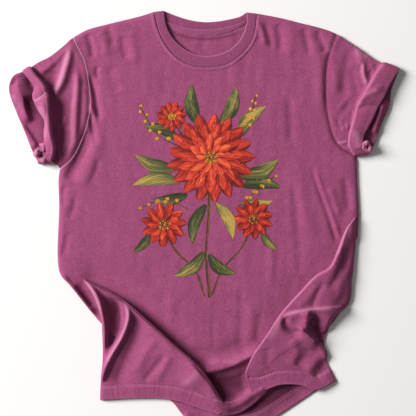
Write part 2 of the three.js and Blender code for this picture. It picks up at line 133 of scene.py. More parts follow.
def nearest(path, places):
    """For each place: how far it is from a line, positive on the line's left, the line's share there, and
    which side it is on, from -1 to 1: only places beyond the line's ends are between the two."""
    dots, shares = path
    gap = np.full(len(places), np.inf)
    share = np.zeros(len(places))
    lean = np.zeros(len(places))
    for (a, b), (low, high) in zip(zip(dots[:-1], dots[1:]), zip(shares[:-1], shares[1:])):
        span = b - a
        if span @ span < 1e-16:
            continue
        off = places - a
        t = np.clip(off @ span / (span @ span), 0, 1)
        far = np.linalg.norm(off - t[:, None] * span, axis=1)
        closer = far < np.abs(gap)
        square = (span[0] * off[:, 1] - span[1] * off[:, 0]) / np.linalg.norm(span)
        gap = np.where(closer, far * np.where(square >= 0, 1, -1), gap)
        share = np.where(closer, low + t * (high - low), share)
        lean = np.where(closer, np.clip(square / np.maximum(far, 1e-9), -1, 1), lean)
    return gap, share, lean


def smooth(x):
    x = np.clip(x, 0, 1)
    return x * x * (3 - 2 * x)


def relief(creases, places, fading=True):
    """The height added by soft creases, which fade out at their ends. Each has its points, its height, and
    its reach, or its reach on the left and on the right, in millimetres."""
    height = np.zeros(len(places))
    for points, rise, reach, *other in creases:
        gap, share, lean = nearest(line(points, CREASE_STEPS), places)
        other = other[0] if other else reach
        reach = (other + (reach - other) * smooth((lean + 1) / 2)) / 1000
        added = rise / 1000 * np.exp(-((gap / reach) ** 2))
        height += added * smooth(np.minimum(share, 1 - share) / CREASE_FADE) if fading else added
    return height


def swell(lines, places):
    """The height added by broad hollows and swells, given as creases are, which keep it to their ends."""
    return relief(lines, places, fading=False)


def stronger(a, b):
    return np.where(np.abs(a) > np.abs(b), a, b)


def painted_light_and_dye_loss(lines, places):
    """How pale each place is painted by lines along crests and seams, as highlights with some dye lost there,
    and how dark by lines whose strength is below 0, as painted shade in hollows and grooves. Each line has its
    points, its strength and its width in millimetres."""
    dye_loss_and_painted_light = np.zeros(len(places))
    for points, strength, width in lines:
        gap, share, _ = nearest(line(points, CREASE_STEPS), places)
        ends = smooth(np.minimum(share, 1 - share) / PAINTED_LIGHT_FADE)
        dye_loss_and_painted_light = stronger(dye_loss_and_painted_light, strength * np.exp(-((gap * 1000 / width) ** 2)) * ends)
    return dye_loss_and_painted_light


def ripple(places, size, height, seed=0.0, length=1):
    """Gentle unevenness of cloth that was folded and laid by hand, in waves of about the given size."""
    return height * np.array([noise.noise((x / size, y / size / length, seed)) for x, y in places])


def rolled(gap, reach):
    return np.sqrt(1 - (1 - np.clip(np.abs(gap) / reach, 0, 1)) ** 2)


def sheet_mesh(name, us, vs, place, tube=False):
    """A flat grid whose points are moved to place(u, v), which also gives each point's paleness from lost dye
    and painted highlights, and its darkness from painted shade.
    """
    bm = bmesh.new()
    bm.loops.layers.uv.new("cut")
    bmesh.ops.create_grid(bm, x_segments=len(us) - 1, y_segments=len(vs) - 1, size=1, calc_uvs=True)
    flat = np.array([v.co for v in bm.verts])
    u = us[np.rint((flat[:, 0] + 1) / 2 * (len(us) - 1)).astype(int)]
    v = vs[np.rint((1 - flat[:, 1]) / 2 * (len(vs) - 1)).astype(int)]
    points, dye_loss_and_painted_light, thick = place(u, v)
    worn_and_painted_light = bm.verts.layers.float.new("dye_loss_and_painted_light")
    wall = bm.verts.layers.deform.new()
    for vert, point, dye_loss_and_light_value, share in zip(bm.verts, points, dye_loss_and_painted_light, thick):
        vert.co = point
        vert[worn_and_painted_light] = dye_loss_and_light_value
        vert[wall][0] = share
    if tube:
        bmesh.ops.remove_doubles(bm, verts=bm.verts, dist=1e-6)
    mesh = bpy.data.meshes.new(name)
    bm.to_mesh(mesh)
    bm.free()
    return mesh


def finished_piece(name, mesh, material):
    """The object that shows a finished mesh, smooth and in its one material."""
    mesh.shade_smooth()
    mesh.materials.append(material)
    piece = bpy.data.objects.new(name, mesh)
    bpy.context.scene.collection.objects.link(piece)
    return piece


def cloth_piece(name, meshes, thickness, material):
    """One object of one or more grids of cloth, which a live Solidify gives its thickness."""
    bm = bmesh.new()
    for mesh in meshes:
        bm.from_mesh(mesh)
        bpy.data.meshes.remove(mesh)
    whole = bpy.data.meshes.new(name)
    bm.to_mesh(whole)
    bm.free()
    piece = finished_piece(name, whole, material)
    piece.vertex_groups.new(name="wall")
    wall = piece.modifiers.new("wall", "SOLIDIFY")
    wall.thickness = thickness
    wall.offset = 0
    wall.vertex_group = "wall"
    return piece


def spread(counts, breaks, close=()):
    """Shares from 0 to 1 with a number of even steps between each two breaks, and some close ones added."""
    parts = [np.linspace(a, b, n, endpoint=False) for n, a, b in zip(counts, breaks, breaks[1:])]
    return np.unique(np.concatenate([*parts, [1.0], np.array(close, float)]))


def linear(hex_colour):
    """An sRGB hex colour as the linear one that a shader takes."""
    values = [int(hex_colour[i:i + 2], 16) / 255 for i in (1, 3, 5)]
    return [*(v / 12.92 if v <= 0.04045 else ((v + 0.055) / 1.055) ** 2.4 for v in values), 1]


def node(tree, kind, settings=None, inputs=None, **links):
    """Adds one shader node with its settings, input values and links from other nodes' outputs."""
    new = tree.nodes.new("ShaderNode" + kind)
    for key, value in (settings or {}).items():
        setattr(new, key, value)
    for key, value in (inputs or {}).items():
        new.inputs[key].default_value = value
    for key, output in links.items():
        name = key.replace("_", " ")
        socket = new.inputs[int(key[1:])] if key[1:].isdigit() else new.inputs[name]
        tree.links.new(output, socket)
    return new


def dyed_cotton(name, dye, grain=0.0018, bump=0.35, wales=0):
    """Garment-dyed cotton knit: dyed after sewing, so its colour is cloudy, and matt with the soft bloom of
    loose fibres. A value at each point paints it paler on crests and seams, partly for dye lost with use and
    partly as painted highlights, and darker in hollows, under folds and in grooves as painted shade. The knit's
    0.8 mm loops are drawn about twice as coarse, so that they show."""
    material = bpy.data.materials.new(name)
    material.use_nodes = True
    tree = material.node_tree
    shader = tree.nodes["Principled BSDF"]
    shader.inputs["Roughness"].default_value = 0.93
    shader.inputs["Specular IOR Level"].default_value = 0.2
    shader.inputs["Sheen Weight"].default_value = 0.12
    shader.inputs["Sheen Roughness"].default_value = 0.45
    shader.inputs["Sheen Tint"].default_value = linear("#e7b5cf")
    place = node(tree, "TexCoord")
    deep, middle, pale = (linear(c) for c in dye)
    clouds = node(tree, "TexNoise", None, {"Scale": 55, "Detail": 4, "Roughness": 0.6},
                  Vector=place.outputs["Object"])
    specks = node(tree, "TexNoise", None, {"Scale": 1 / (1.5 * grain), "Detail": 3, "Roughness": 0.7},
                  Vector=place.outputs["Object"])
    cloudy = node(tree, "ValToRGB", None, None, Fac=clouds.outputs["Fac"])
    cloudy.color_ramp.elements[0].position, cloudy.color_ramp.elements[0].color = 0.0, deep
    cloudy.color_ramp.elements[1].position, cloudy.color_ramp.elements[1].color = 1.0, middle
    speckle = node(tree, "MapRange", None, {"From Min": 0.35, "From Max": 0.72, "To Min": 0, "To Max": 0.16},
                   Value=specks.outputs["Fac"])
    heather = node(tree, "Mix", {"data_type": "RGBA"}, {"B": pale}, Factor=speckle.outputs[0],
                   A=cloudy.outputs[0])
    # Above 0 this value paints the cloth paler, partly for dye lost with use and partly as painted highlights.
    worn_and_painted_light = node(tree, "Attribute", {"attribute_name": "dye_loss_and_painted_light"})
    pale_loss_and_highlight = node(tree, "Mix", {"data_type": "RGBA"}, {"B": pale}, Factor=worn_and_painted_light.outputs["Fac"],
                  A=heather.outputs["Result"])
    # Below 0 it mixes in dark purple #431529 as painted shade in hollows, under folds and in grooves.
    painted_shade_share = node(tree, "MapRange", None, {"From Min": 0, "From Max": -1}, Value=worn_and_painted_light.outputs["Fac"])
    painted_shade = node(tree, "Mix", {"data_type": "RGBA"}, {"B": linear("#431529")}, Factor=painted_shade_share.outputs[0],
                A=pale_loss_and_highlight.outputs["Result"])
    tree.links.new(painted_shade.outputs["Result"], shader.inputs["Base Color"])
    loops = node(tree, "TexNoise", None, {"Scale": 1 / grain, "Detail": 2, "Roughness": 0.6},
                 Vector=place.outputs["Object"])
    fuzz = node(tree, "TexNoise", None, {"Scale": 1 / (2.4 * grain), "Detail": 2},
                Vector=place.outputs["Object"])
    grainy = node(tree, "Math", {"operation": "ADD"}, None, _0=loops.outputs["Fac"], _1=fuzz.outputs["Fac"])
    if wales:
        cut = node(tree, "UVMap", {"uv_map": "cut"})
        ribs = node(tree, "TexWave", {"bands_direction": "X"}, {"Scale": wales * math.pi / 10},
                    Vector=cut.outputs["UV"])
        grainy = node(tree, "Math", {"operation": "ADD"}, None, _0=ribs.outputs["Fac"], _1=grainy.outputs[0])
    dents = node(tree, "Bump", None, {"Strength": bump, "Distance": 0.0012}, Height=grainy.outputs[0])
    tree.links.new(dents.outputs["Normal"], shader.inputs["Normal"])
    return material


SHIRT_DYE = ("#7f3056", "#93436a", "#d391b0")
jersey = dyed_cotton("garment_dyed_cotton_jersey", SHIRT_DYE)

left_shoulder, right_shoulder = line(LEFT_SHOULDER), line(RIGHT_SHOULDER)
left_side, right_side = line(LEFT_SIDE), line(RIGHT_SIDE)
neck_seam, left_armhole, right_armhole = line(NECK_SEAM), line(LEFT_ARMHOLE), line(RIGHT_ARMHOLE)

BODY_SWELLS = [
    ([(-20, -272), (2, -272), (32, -266), (58, -257), (77, -247), (97, -238)], 9, 8, 5),
    ([(-194, -108), (-144, -135), (-97, -175), (-54, -214), (-18, -247)], -5, 24, 20),
    ([(-2, -245), (29, -241), (65, -229)], -4.5, 14),
    ([(5, -299), (32, -302), (61, -297), (83, -286)], -9, 17, 21),
    ([(25, -328), (43, -335), (65, -326), (86, -311), (104, -301)], 9, 9),
    ([(252, -29), (234, -65), (205, -90), (173, -122), (140, -166), (108, -209), (86, -241)], -2.2, 22),
]
# Painted light on the front: painted shade in the right armhole's groove, in the hollow under the swoop between
# the two folds and in the pocket beside the left fold's rim, and a faint painted highlight along the swoop's
# crest.
BODY_PAINTED_LIGHT = [
    (RIGHT_ARMHOLE, -0.55, 2.4),
    ([(-7, -274), (14, -295), (40, -320), (65, -331)], -0.75, 30),
    ([(18, -281), (50, -292), (76, -292)], -0.8, 22),
    ([(-230, -115), (-212, -140), (-193, -173)], -0.7, 9),
    ([(-4, -252), (32, -257), (65, -254), (94, -243)], 0.1, 7),
]
BODY_CREASES = [
    ([(-212, 335), (-202, 313), (-200, 288)], -3.2, 6),
    ([(-191, 277), (-193, 266), (-189, 252)], -3.0, 5, 4),
    ([(-187, 342), (-180, 320), (-176, 292)], 2.2, 9, 6),
    ([(-173, 349), (-166, 328), (-164, 310)], -2.2, 6),
    ([(-148, 331), (-144, 310), (-137, 288)], -2.4, 7),
    ([(-133, 342), (-126, 313), (-122, 277)], 1.6, 8),
    ([(-207, 263), (-198, 234), (-193, 205), (-189, 176)], -4.2, 7, 4),
    ([(-205, 209), (-198, 191), (-193, 173)], 2.2, 3),
    ([(-205, 194), (-200, 162), (-194, 133)], -4.0, 6, 4),
    ([(-207, 166), (-214, 133), (-229, 101), (-248, 68)], -6.5, 11, 8),
    ([(-191, 162), (-193, 130), (-205, 94), (-220, 54)], 2.2, 12),
    ([(-189, 112), (-194, 90), (-205, 65)], -1.6, 5),
    ([(-232, 43), (-234, 22), (-243, 0)], -2.0, 5),
    ([(-248, 65), (-254, 43), (-250, 25)], -2.2, 5),
    ([(-245, -22), (-248, -43), (-254, -68)], -2.0, 5),
    ([(-169, 277), (-164, 252), (-151, 230)], -1.6, 9),
    ([(97, 360), (104, 338), (110, 313)], 2.6, 5, 4),
    ([(108, 353), (117, 331), (122, 306)], -1.8, 5),
    ([(130, 353), (137, 328), (137, 302)], -2.4, 7),
    ([(155, 349), (158, 320), (151, 288)], 1.4, 8),
    ([(178, 346), (184, 324), (191, 295)], -2.2, 6),
    ([(203, 342), (212, 320), (220, 299)], -3.0, 6, 7),
    ([(191, 324), (205, 295), (209, 245), (211, 198)], 2.0, 8, 9),
    ([(193, 101), (205, 61), (221, 18), (241, -47)], -3.4, 5, 4),
    ([(196, 97), (209, 61), (225, 18), (245, -36)], 3.4, 4, 4),
    ([(227, 61), (234, 36), (245, 7)], 2.0, 6),
    ([(169, 126), (171, 72), (180, 18), (202, -36)], 1.4, 10),
    ([(252, 79), (257, 43), (263, 14)], -2.4, 7),
    ([(151, 223), (157, 180), (153, 133)], -1.6, 8),
    ([(160, 72), (166, 18), (171, -45), (173, -108)], -1.5, 8),
    ([(119, -29), (122, -72), (119, -126)], 1.0, 8),
    ([(16, -176), (16, -209), (18, -238)], -0.8, 5),
    ([(67, -122), (65, -180), (61, -230)], -1.0, 7),
    ([(104, -162), (97, -191), (95, -223)], -1.0, 6),
    ([(86, -144), (83, -184), (77, -227)], 0.8, 7),
    ([(-40, -137), (-43, -173), (-36, -209)], -1.0, 8),
    ([(-97, -76), (-86, -115), (-68, -155)], -0.9, 10),
    ([(-259, -95), (-245, -113), (-223, -139), (-193, -175)], 12, 5, 6),
    ([(-230, -115), (-216, -133), (-198, -158)], -5, 7),
]


def body_height(places):
    edges = [nearest(path, places)[0] for path in (left_shoulder, right_shoulder, left_side, right_side)]
    gap = np.min(np.abs(edges), axis=0)
    free = FRONT_HEIGHT + swell(BODY_SWELLS, places)
    free += relief(BODY_CREASES, places) + ripple(places, 0.085, 0.0013)
    free += ripple(places, 0.016, 0.0006, 7, 4) + ripple(places, 0.011, 0.0003, 2)
    free = np.maximum(free, EDGE_HEIGHT)
    return EDGE_HEIGHT + (free - EDGE_HEIGHT) * rolled(gap, EDGE_ROLL)


def hem_relief(from_hem, share):
    """A turned hem: a raised double band, a groove along its stitches and small puckers across it."""
    pucker = np.array([noise.noise((x * 60, 0.3, 2.1)) for x in share])
    band = HEM_BAND * (1 - smooth((from_hem - 0.022) / 0.002))
    groove = HEM_DENT * np.exp(-(((from_hem - HEM_DEPTH) / 0.0018) ** 2))
    return band - groove + HEM_PUCKER * pucker * np.exp(-(((from_hem - 0.017) / 0.012) ** 2))


def neck_relief(places):
    """The seam allowance under the body around the neck, pressed away from the rib and stitched down."""
    gap = np.abs(nearest(neck_seam, places)[0])
    band = NECK_BAND * (1 - smooth((gap - NECK_BAND_WIDTH) / 0.0015))
    return band - NECK_DENT * (1 - smooth(gap / 0.0016))


def front_body(u, v):
    top = chain([left_shoulder, neck_seam, right_shoulder], NECK_BREAKS)
    left = chain([left_armhole, left_side], SIDE_BREAKS)
    right = chain([right_armhole, right_side], SIDE_BREAKS)
    places = patch(top, line(BODY_FOOT), left, right, u, v)
    left_seam, right_seam = (np.abs(nearest(path, places)[0]) for path in (left_armhole, right_armhole))
    height = body_height(places) - SEAM_GROOVE * np.exp(-((right_seam / SEAM_REACH) ** 2))
    height += SEAM_RIDGE * np.exp(-((left_seam / SEAM_REACH) ** 2))
    # The left armhole's seam is painted pale, partly for dye lost at the seam and partly as a painted
    # highlight.
    dye_loss_and_painted_light = stronger(0.5 * np.exp(-((left_seam / SEAM_LINE_WIDTH) ** 2)), painted_light_and_dye_loss(BODY_PAINTED_LIGHT, places))
    hem, share, _ = nearest(line(BODY_FOOT), places)
    hem = np.abs(hem)
    height += hem_relief(hem, share) * (places[:, 1] < TURNED_BELOW) + neck_relief(places)
    thick = np.where((hem < HEM_DEPTH) & (places[:, 1] < TURNED_BELOW), 1.0, JERSEY / HEM)
    return np.column_stack([places, height]), dye_loss_and_painted_light, thick


body_columns = spread((46, 120, 46), NECK_BREAKS, (0.002, 0.005, 0.01, 0.016, 0.984, 0.99, 0.995, 0.998))
body_rows = spread((218,), (0, 1), (0.0015, 0.004, 0.008, 0.012))

LEFT_CREST = [(-218, -105), (-187, -119), (-142, -144), (-106, -174), (-52, -223), (-16, -254), (7, -281),
              (40, -335)]
LEFT_FOLD_EDGE = [(-218, -105), (-200, -135), (-184, -180), (-182, -252), (-185, -284), (-186, -324)]
LEFT_HEM = [(-186, -324), (-124, -320), (-79, -321), (-43, -326), (-7, -338), (27, -349)]
LEFT_HEM_END = [(40, -335), (35, -343), (27, -349)]
RIGHT_CREST = [(74, -274), (86, -245), (115, -202), (136, -169), (173, -127), (200, -99), (225, -83),
               (238, -56), (256, -14), (274, 8)]
RIGHT_FOLD_EDGE = [(274, 8), (273, -36), (266, -108), (261, -149), (236, -175), (224, -195), (216, -224),
                   (222, -240), (221, -255), (229, -274), (237, -290)]
RIGHT_HEM = [(83, -306), (106, -305), (137, -295), (173, -296), (200, -305), (237, -290)]
RIGHT_HEM_END = [(74, -274), (79, -292), (83, -306)]

LEFT_FOLD = {
    "crest": LEFT_CREST, "hem": LEFT_HEM, "left": LEFT_FOLD_EDGE, "right": LEFT_HEM_END,
    "edge": LEFT_FOLD_EDGE, "edge_share": 0, "edge_heights": (0.011, EDGE_HEIGHT), "edge_roll": 0.008,
    "crest_dye_loss_and_highlight": 0,
    # Pale lines paint highlights on the rim and the inner ridge, with some dye lost there; dark bands below 0
    # paint the shade in the hollows on either side of the inner ridge.
    "worn_and_painted_light": [
        ([(-148, -137), (-138, -153), (-135, -173), (-140, -193), (-151, -216), (-166, -241),
          (-180, -270)], 0.35, 3.5),
        ([(-220, -104), (-202, -122), (-191, -144), (-187, -173), (-185, -198)], 0.4, 3),
        ([(-9, -259), (-14, -274), (-29, -288), (-47, -302)], 0.15, 6),
        ([(-169, -130), (-162, -151), (-161, -180), (-171, -205)], -0.35, 14),
        ([(-126, -166), (-126, -194), (-137, -223), (-155, -256)], -0.3, 12),
    ],
    "crest_heights": [(0, 12), (14, 17), (24, 21), (45, 25), (66, 26), (80, 27), (92, 24), (97, 17),
                      (100, 10)],
    "hem_heights": [(0, 4.5), (50, 5.5), (100, 8)],
    "swells": [
        ([(-149, -130), (-139, -149), (-134, -169), (-139, -191), (-149, -214), (-164, -239), (-176, -263),
          (-184, -284)], 10, 5, 4.5),
        ([(-117, -158), (-117, -187), (-126, -220), (-139, -248), (-153, -281)], -4, 17, 9),
    ],
    "creases": [
        ([(-223, -101), (-202, -119), (-187, -142), (-181, -169), (-178, -198), (-180, -238)], 17, 5, 5),
        ([(-166, -122), (-155, -148), (-153, -176), (-160, -202), (-175, -230)], -11, 5, 12),
        ([(-9, -252), (-12, -270), (-20, -284), (-31, -302)], 5, 20, 18),
        ([(-68, -238), (-86, -263), (-110, -292)], -2.4, 7),
        ([(-83, -209), (-101, -234), (-122, -274)], 2.0, 8),
        ([(-58, -238), (-72, -266), (-86, -292)], 1.6, 7),
        ([(-97, -184), (-76, -209), (-50, -234)], 1.2, 8),
    ],
}
RIGHT_FOLD = {
    "crest": RIGHT_CREST, "hem": RIGHT_HEM, "left": RIGHT_HEM_END, "right": RIGHT_FOLD_EDGE,
    "edge": RIGHT_FOLD_EDGE, "edge_share": 1, "edge_heights": (EDGE_HEIGHT, EDGE_HEIGHT), "edge_roll": 0.011,
    # A pale line along the crest: a painted highlight where its roll faces the light, with some dye lost there.
    "crest_dye_loss_and_highlight": 0.2,
    # Pale lines paint highlights on the fold's crests and ridges, with some dye lost there; dark bands below 0
    # paint the shade in the wedge under the ridge, in the hooked dent and beside the right edge.
    "worn_and_painted_light": [
        ([(135, -173), (155, -166), (182, -161), (209, -158), (241, -157)], 0.4, 2.5),
        ([(176, -196), (191, -211), (205, -221), (223, -241)], 0.2, 2.5),
        ([(263, 5), (250, -29), (234, -72)], 0.3, 5),
        ([(139, -169), (130, -191), (112, -216)], 0.2, 6),
        ([(189, -173), (194, -191), (205, -205), (218, -218)], -0.5, 13),
        ([(146, -176), (149, -193), (166, -200)], -0.4, 5),
        ([(252, -40), (241, -76), (227, -112)], -0.3, 9),
    ],
    "crest_heights": [(0, 16), (30, 21), (60, 23), (80, 22), (100, 12)],
    "hem_heights": [(0, 12), (50, 12), (100, 4)],
    "swells": [
        ([(133, -173), (155, -166), (180, -162), (209, -158), (245, -157)], 6, 3, 15),
        ([(194, -180), (202, -198), (212, -212), (227, -225)], -13, 15, 6),
        ([(176, -196), (191, -211), (205, -221), (223, -243)], 7, 3, 11),
    ],
    "creases": [
        ([(266, -22), (263, -50), (250, -79), (234, -108), (221, -130)], -3.2, 9, 8),
        ([(146, -171), (145, -184), (151, -194), (162, -200), (176, -198)], -7, 6, 7),
        ([(185, -162), (185, -178), (179, -200)], 7.0, 3, 11),
        ([(216, -108), (205, -126), (196, -148), (189, -158)], -2.2, 6, 6),
        ([(202, -112), (184, -137), (166, -155)], 1.6, 8),
        ([(254, -86), (248, -115), (241, -144)], 2.0, 8),
        ([(112, -227), (115, -245), (112, -263)], -1.6, 8),
        ([(155, -212), (166, -234), (155, -263)], 2.2, 8, 10),
        ([(191, -227), (180, -245), (166, -263)], -1.8, 8, 8),
        ([(209, -238), (198, -256), (184, -274)], 2.6, 8, 9),
        ([(221, -252), (209, -270), (200, -288)], -3.0, 9, 8),
    ],
}
ROLL_TURNS = np.radians(np.linspace(-90, 90, 9))
RETURN_STEPS = 5


def rise(knots, share):
    places, shares = smooth_line(knots)
    return np.interp(share, shares, places[:, 1]) / 1000


def roll_radius(top):
    """How round a fold's crest is rolled: tighter where the fold lies low."""
    return np.minimum(FOLD_RADIUS, (top - FRONT_HEIGHT + 0.001) / 2.2)


def fold_place(fold):
    """Where the points of one big fold go: out from under itself, over a rolled crest and down to the hem."""
    crest, hem, edge = line(fold["crest"]), line(fold["hem"]), line(fold["edge"])
    left, right = line(fold["left"]), line(fold["right"])

    def inward(u):
        ahead = along(crest, np.minimum(u + 0.01, 1)) - along(crest, np.maximum(u - 0.01, 0))
        square = np.column_stack([ahead[:, 1], -ahead[:, 0]])
        down = along(hem, u) - along(crest, u)
        square, down = (way / np.linalg.norm(way, axis=1)[:, None] for way in (square, down))
        share = smooth(1 - np.abs(u - fold["edge_share"]) / 0.3)[:, None]
        way = square * (1 - share) + down * share
        return way / np.linalg.norm(way, axis=1)[:, None]

    def place(u, v):
        top = rise(fold["crest_heights"], u)
        radius = roll_radius(top)
        shifted = np.linspace(0, 1, 120)
        start_radius = roll_radius(rise(fold["crest_heights"], shifted))
        inner = along(crest, shifted) + inward(shifted) * start_radius[:, None]
        down = np.clip(v, 0, 1)
        places = patch((inner, shifted), hem, left, right, u, down)
        height = top + (rise(fold["hem_heights"], u) - top) * smooth(down)
        gain = swell(fold["swells"], places) * np.minimum(1, 6 * down)
        gain += (relief(fold["creases"], places) + ripple(places, 0.05, 0.0016, 3)) * np.minimum(1, 8 * down)
        height = np.maximum(height + gain, EDGE_HEIGHT)
        turning = v < 0
        turn = np.interp(-v, np.arange(len(ROLL_TURNS)) + 1.0, ROLL_TURNS[::-1])
        beyond = np.clip(-v - len(ROLL_TURNS), 0, RETURN_STEPS) / RETURN_STEPS
        run = radius * (1 - np.cos(turn)) + beyond * (radius + FOLD_RETURN)
        rolled_over = along(crest, u) + inward(u) * run[:, None]
        under = body_height(rolled_over) - 0.0002
        edge_of_roll = top - radius + radius * np.sin(turn)
        edge_of_roll += (under - edge_of_roll) * smooth(beyond)
        places = np.where(turning[:, None], rolled_over, places)
        height = np.where(turning, edge_of_roll, height)
        start, end = fold["edge_heights"]
        low = start + (end - start) * np.minimum(1, 3 * down)
        gap = nearest(edge, places)[0]
        height = np.minimum(height, low) + (height - np.minimum(height, low)) * rolled(gap, fold["edge_roll"])
        from_crest = np.where(turning, 0, np.linalg.norm(places - along(crest, u), axis=1))
        from_hem, along_hem, _ = nearest(hem, places)
        from_hem = np.abs(from_hem)
        height += hem_relief(from_hem, along_hem) * (down > 0.3) * rolled(gap, EDGE_ROLL)
        # A painted highlight along the rolled crest, with some dye lost there, and a pale line of lost dye
        # along the hem.
        dye_loss_and_painted_light = fold["crest_dye_loss_and_highlight"] * np.exp(-((from_crest / 0.003) ** 2))
        dye_loss_and_painted_light += 0.1 * np.exp(-((from_hem / 0.0025) ** 2))
        dye_loss_and_painted_light = stronger(dye_loss_and_painted_light, painted_light_and_dye_loss(fold["worn_and_painted_light"], places))
        thick = np.where(from_hem < HEM_DEPTH, 1.0, JERSEY / HEM)
        return np.column_stack([places, height]), dye_loss_and_painted_light, thick

    return place


fold_rows = np.concatenate([-np.arange(len(ROLL_TURNS) + RETURN_STEPS, 0, -1.0), np.linspace(0, 1, 112)])
left_fold_columns = spread((170,), (0, 1), (0.002, 0.005, 0.014))
right_fold_columns = spread((170,), (0, 1), (0.998, 0.995, 0.986))
front_parts = {}
for part, columns, rows, place, flat, cut, held in (
    ("body", body_columns, body_rows, front_body, (0.54, 0.73), 0.315, "laid"),
    ("left_fold", left_fold_columns, fold_rows, fold_place(LEFT_FOLD), (0.36, 0.21), 0.045, "folded"),
    ("right_fold", right_fold_columns, fold_rows, fold_place(RIGHT_FOLD), (0.36, 0.21), 0.04, "folded"),
):
    front_part = cloth_piece("front_panel_" + part, [sheet_mesh(part, columns, rows, place)], HEM, jersey)
    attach(front_part, "root")
    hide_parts("front_panel")
    front_parts[part] = front_part

# Back panel
# One piece of the same jersey, flat on the surface. Its inside shows in the neck, and its hem lies out past
# the front's at the lower right, curled a little, because the front is pushed up more than the back.
BACK_HEIGHT = 0.0007
BACK_HEM_HEIGHT = 0.0011
BACK_NECK_SEAM = [(95, 371), (81, 362), (65, 353), (43, 346), (20, 342), (-7, 341), (-31, 344), (-49, 349),
                  (-67, 356), (-79, 363), (-90, 374)]
BACK_HEM = [(237, -290), (209, -303), (182, -320), (146, -344), (104, -369), (65, -379), (20, -380),
            (-13, -371), (-36, -353), (-65, -322), (-124, -320), (-186, -324)]
BACK_CURL = [
    ([(224, -304), (196, -322), (160, -347), (120, -370)], 5, 7),
    ([(-30, -352), (-12, -362), (4, -376)], 5, 5),
    ([(20, -352), (60, -360), (110, -345)], 2.5, 12),
]
# Dark bands on the back panel: a narrow line on its inside a little below the neck tape, and a broad band of
# painted shade where the front's raised middle hem shades the back at the lower right.
BACK_DARK_BANDS = [
    ([(-65, 340), (-43, 332), (-25, 328), (-7, 326), (14, 326), (38, 329), (76, 340)], -0.6, 2.6),
    ([(61, -349), (94, -338), (122, -324), (151, -308), (176, -295)], -0.85, 15),
]
BACK_CREASES = [
    ([(-60, 330), (-30, 318), (0, 312)], 0.8, 8),
    ([(20, 325), (45, 318), (60, 330)], 0.8, 8),
]


def back_place(u, v):
    left = chain([left_armhole, line(LEFT_SIDE), line(LEFT_FOLD_EDGE[2:])], (0, 0.36, 0.78, 1))
    right = chain([right_armhole, line(RIGHT_SIDE[:-1]), line(RIGHT_FOLD_EDGE)], (0, 0.36, 0.5, 1))
    top = chain([left_shoulder, line(BACK_NECK_SEAM[::-1]), right_shoulder], NECK_BREAKS)
    hem = line(BACK_HEM[::-1])
    places = patch(top, hem, left, right, u, v)
    from_hem = np.abs(nearest(hem, places)[0])
    height = np.where(from_hem < HEM_DEPTH, BACK_HEM_HEIGHT, BACK_HEIGHT)
    beyond = smooth((-0.300 - places[:, 1]) / 0.02)
    height += np.maximum(swell(BACK_CURL, places), 0) * beyond
    inside = smooth((places[:, 1] - 0.27) / 0.03)
    height += (relief(BACK_CREASES, places) + np.abs(ripple(places, 0.03, 0.0016, 5))) * inside
    dye_loss_and_painted_light = stronger(0.12 * np.exp(-((from_hem / 0.003) ** 2)), painted_light_and_dye_loss(BACK_DARK_BANDS, places))
    return np.column_stack([places, height]), dye_loss_and_painted_light, np.where(from_hem < HEM_DEPTH, 1.0, JERSEY / HEM)


back_panel = cloth_piece("back_panel_jersey", [
    sheet_mesh("back", spread((34, 60, 34), NECK_BREAKS), spread((190,), (0, 1)), back_place)], HEM, jersey)
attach(back_panel, "root")
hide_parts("back_panel")

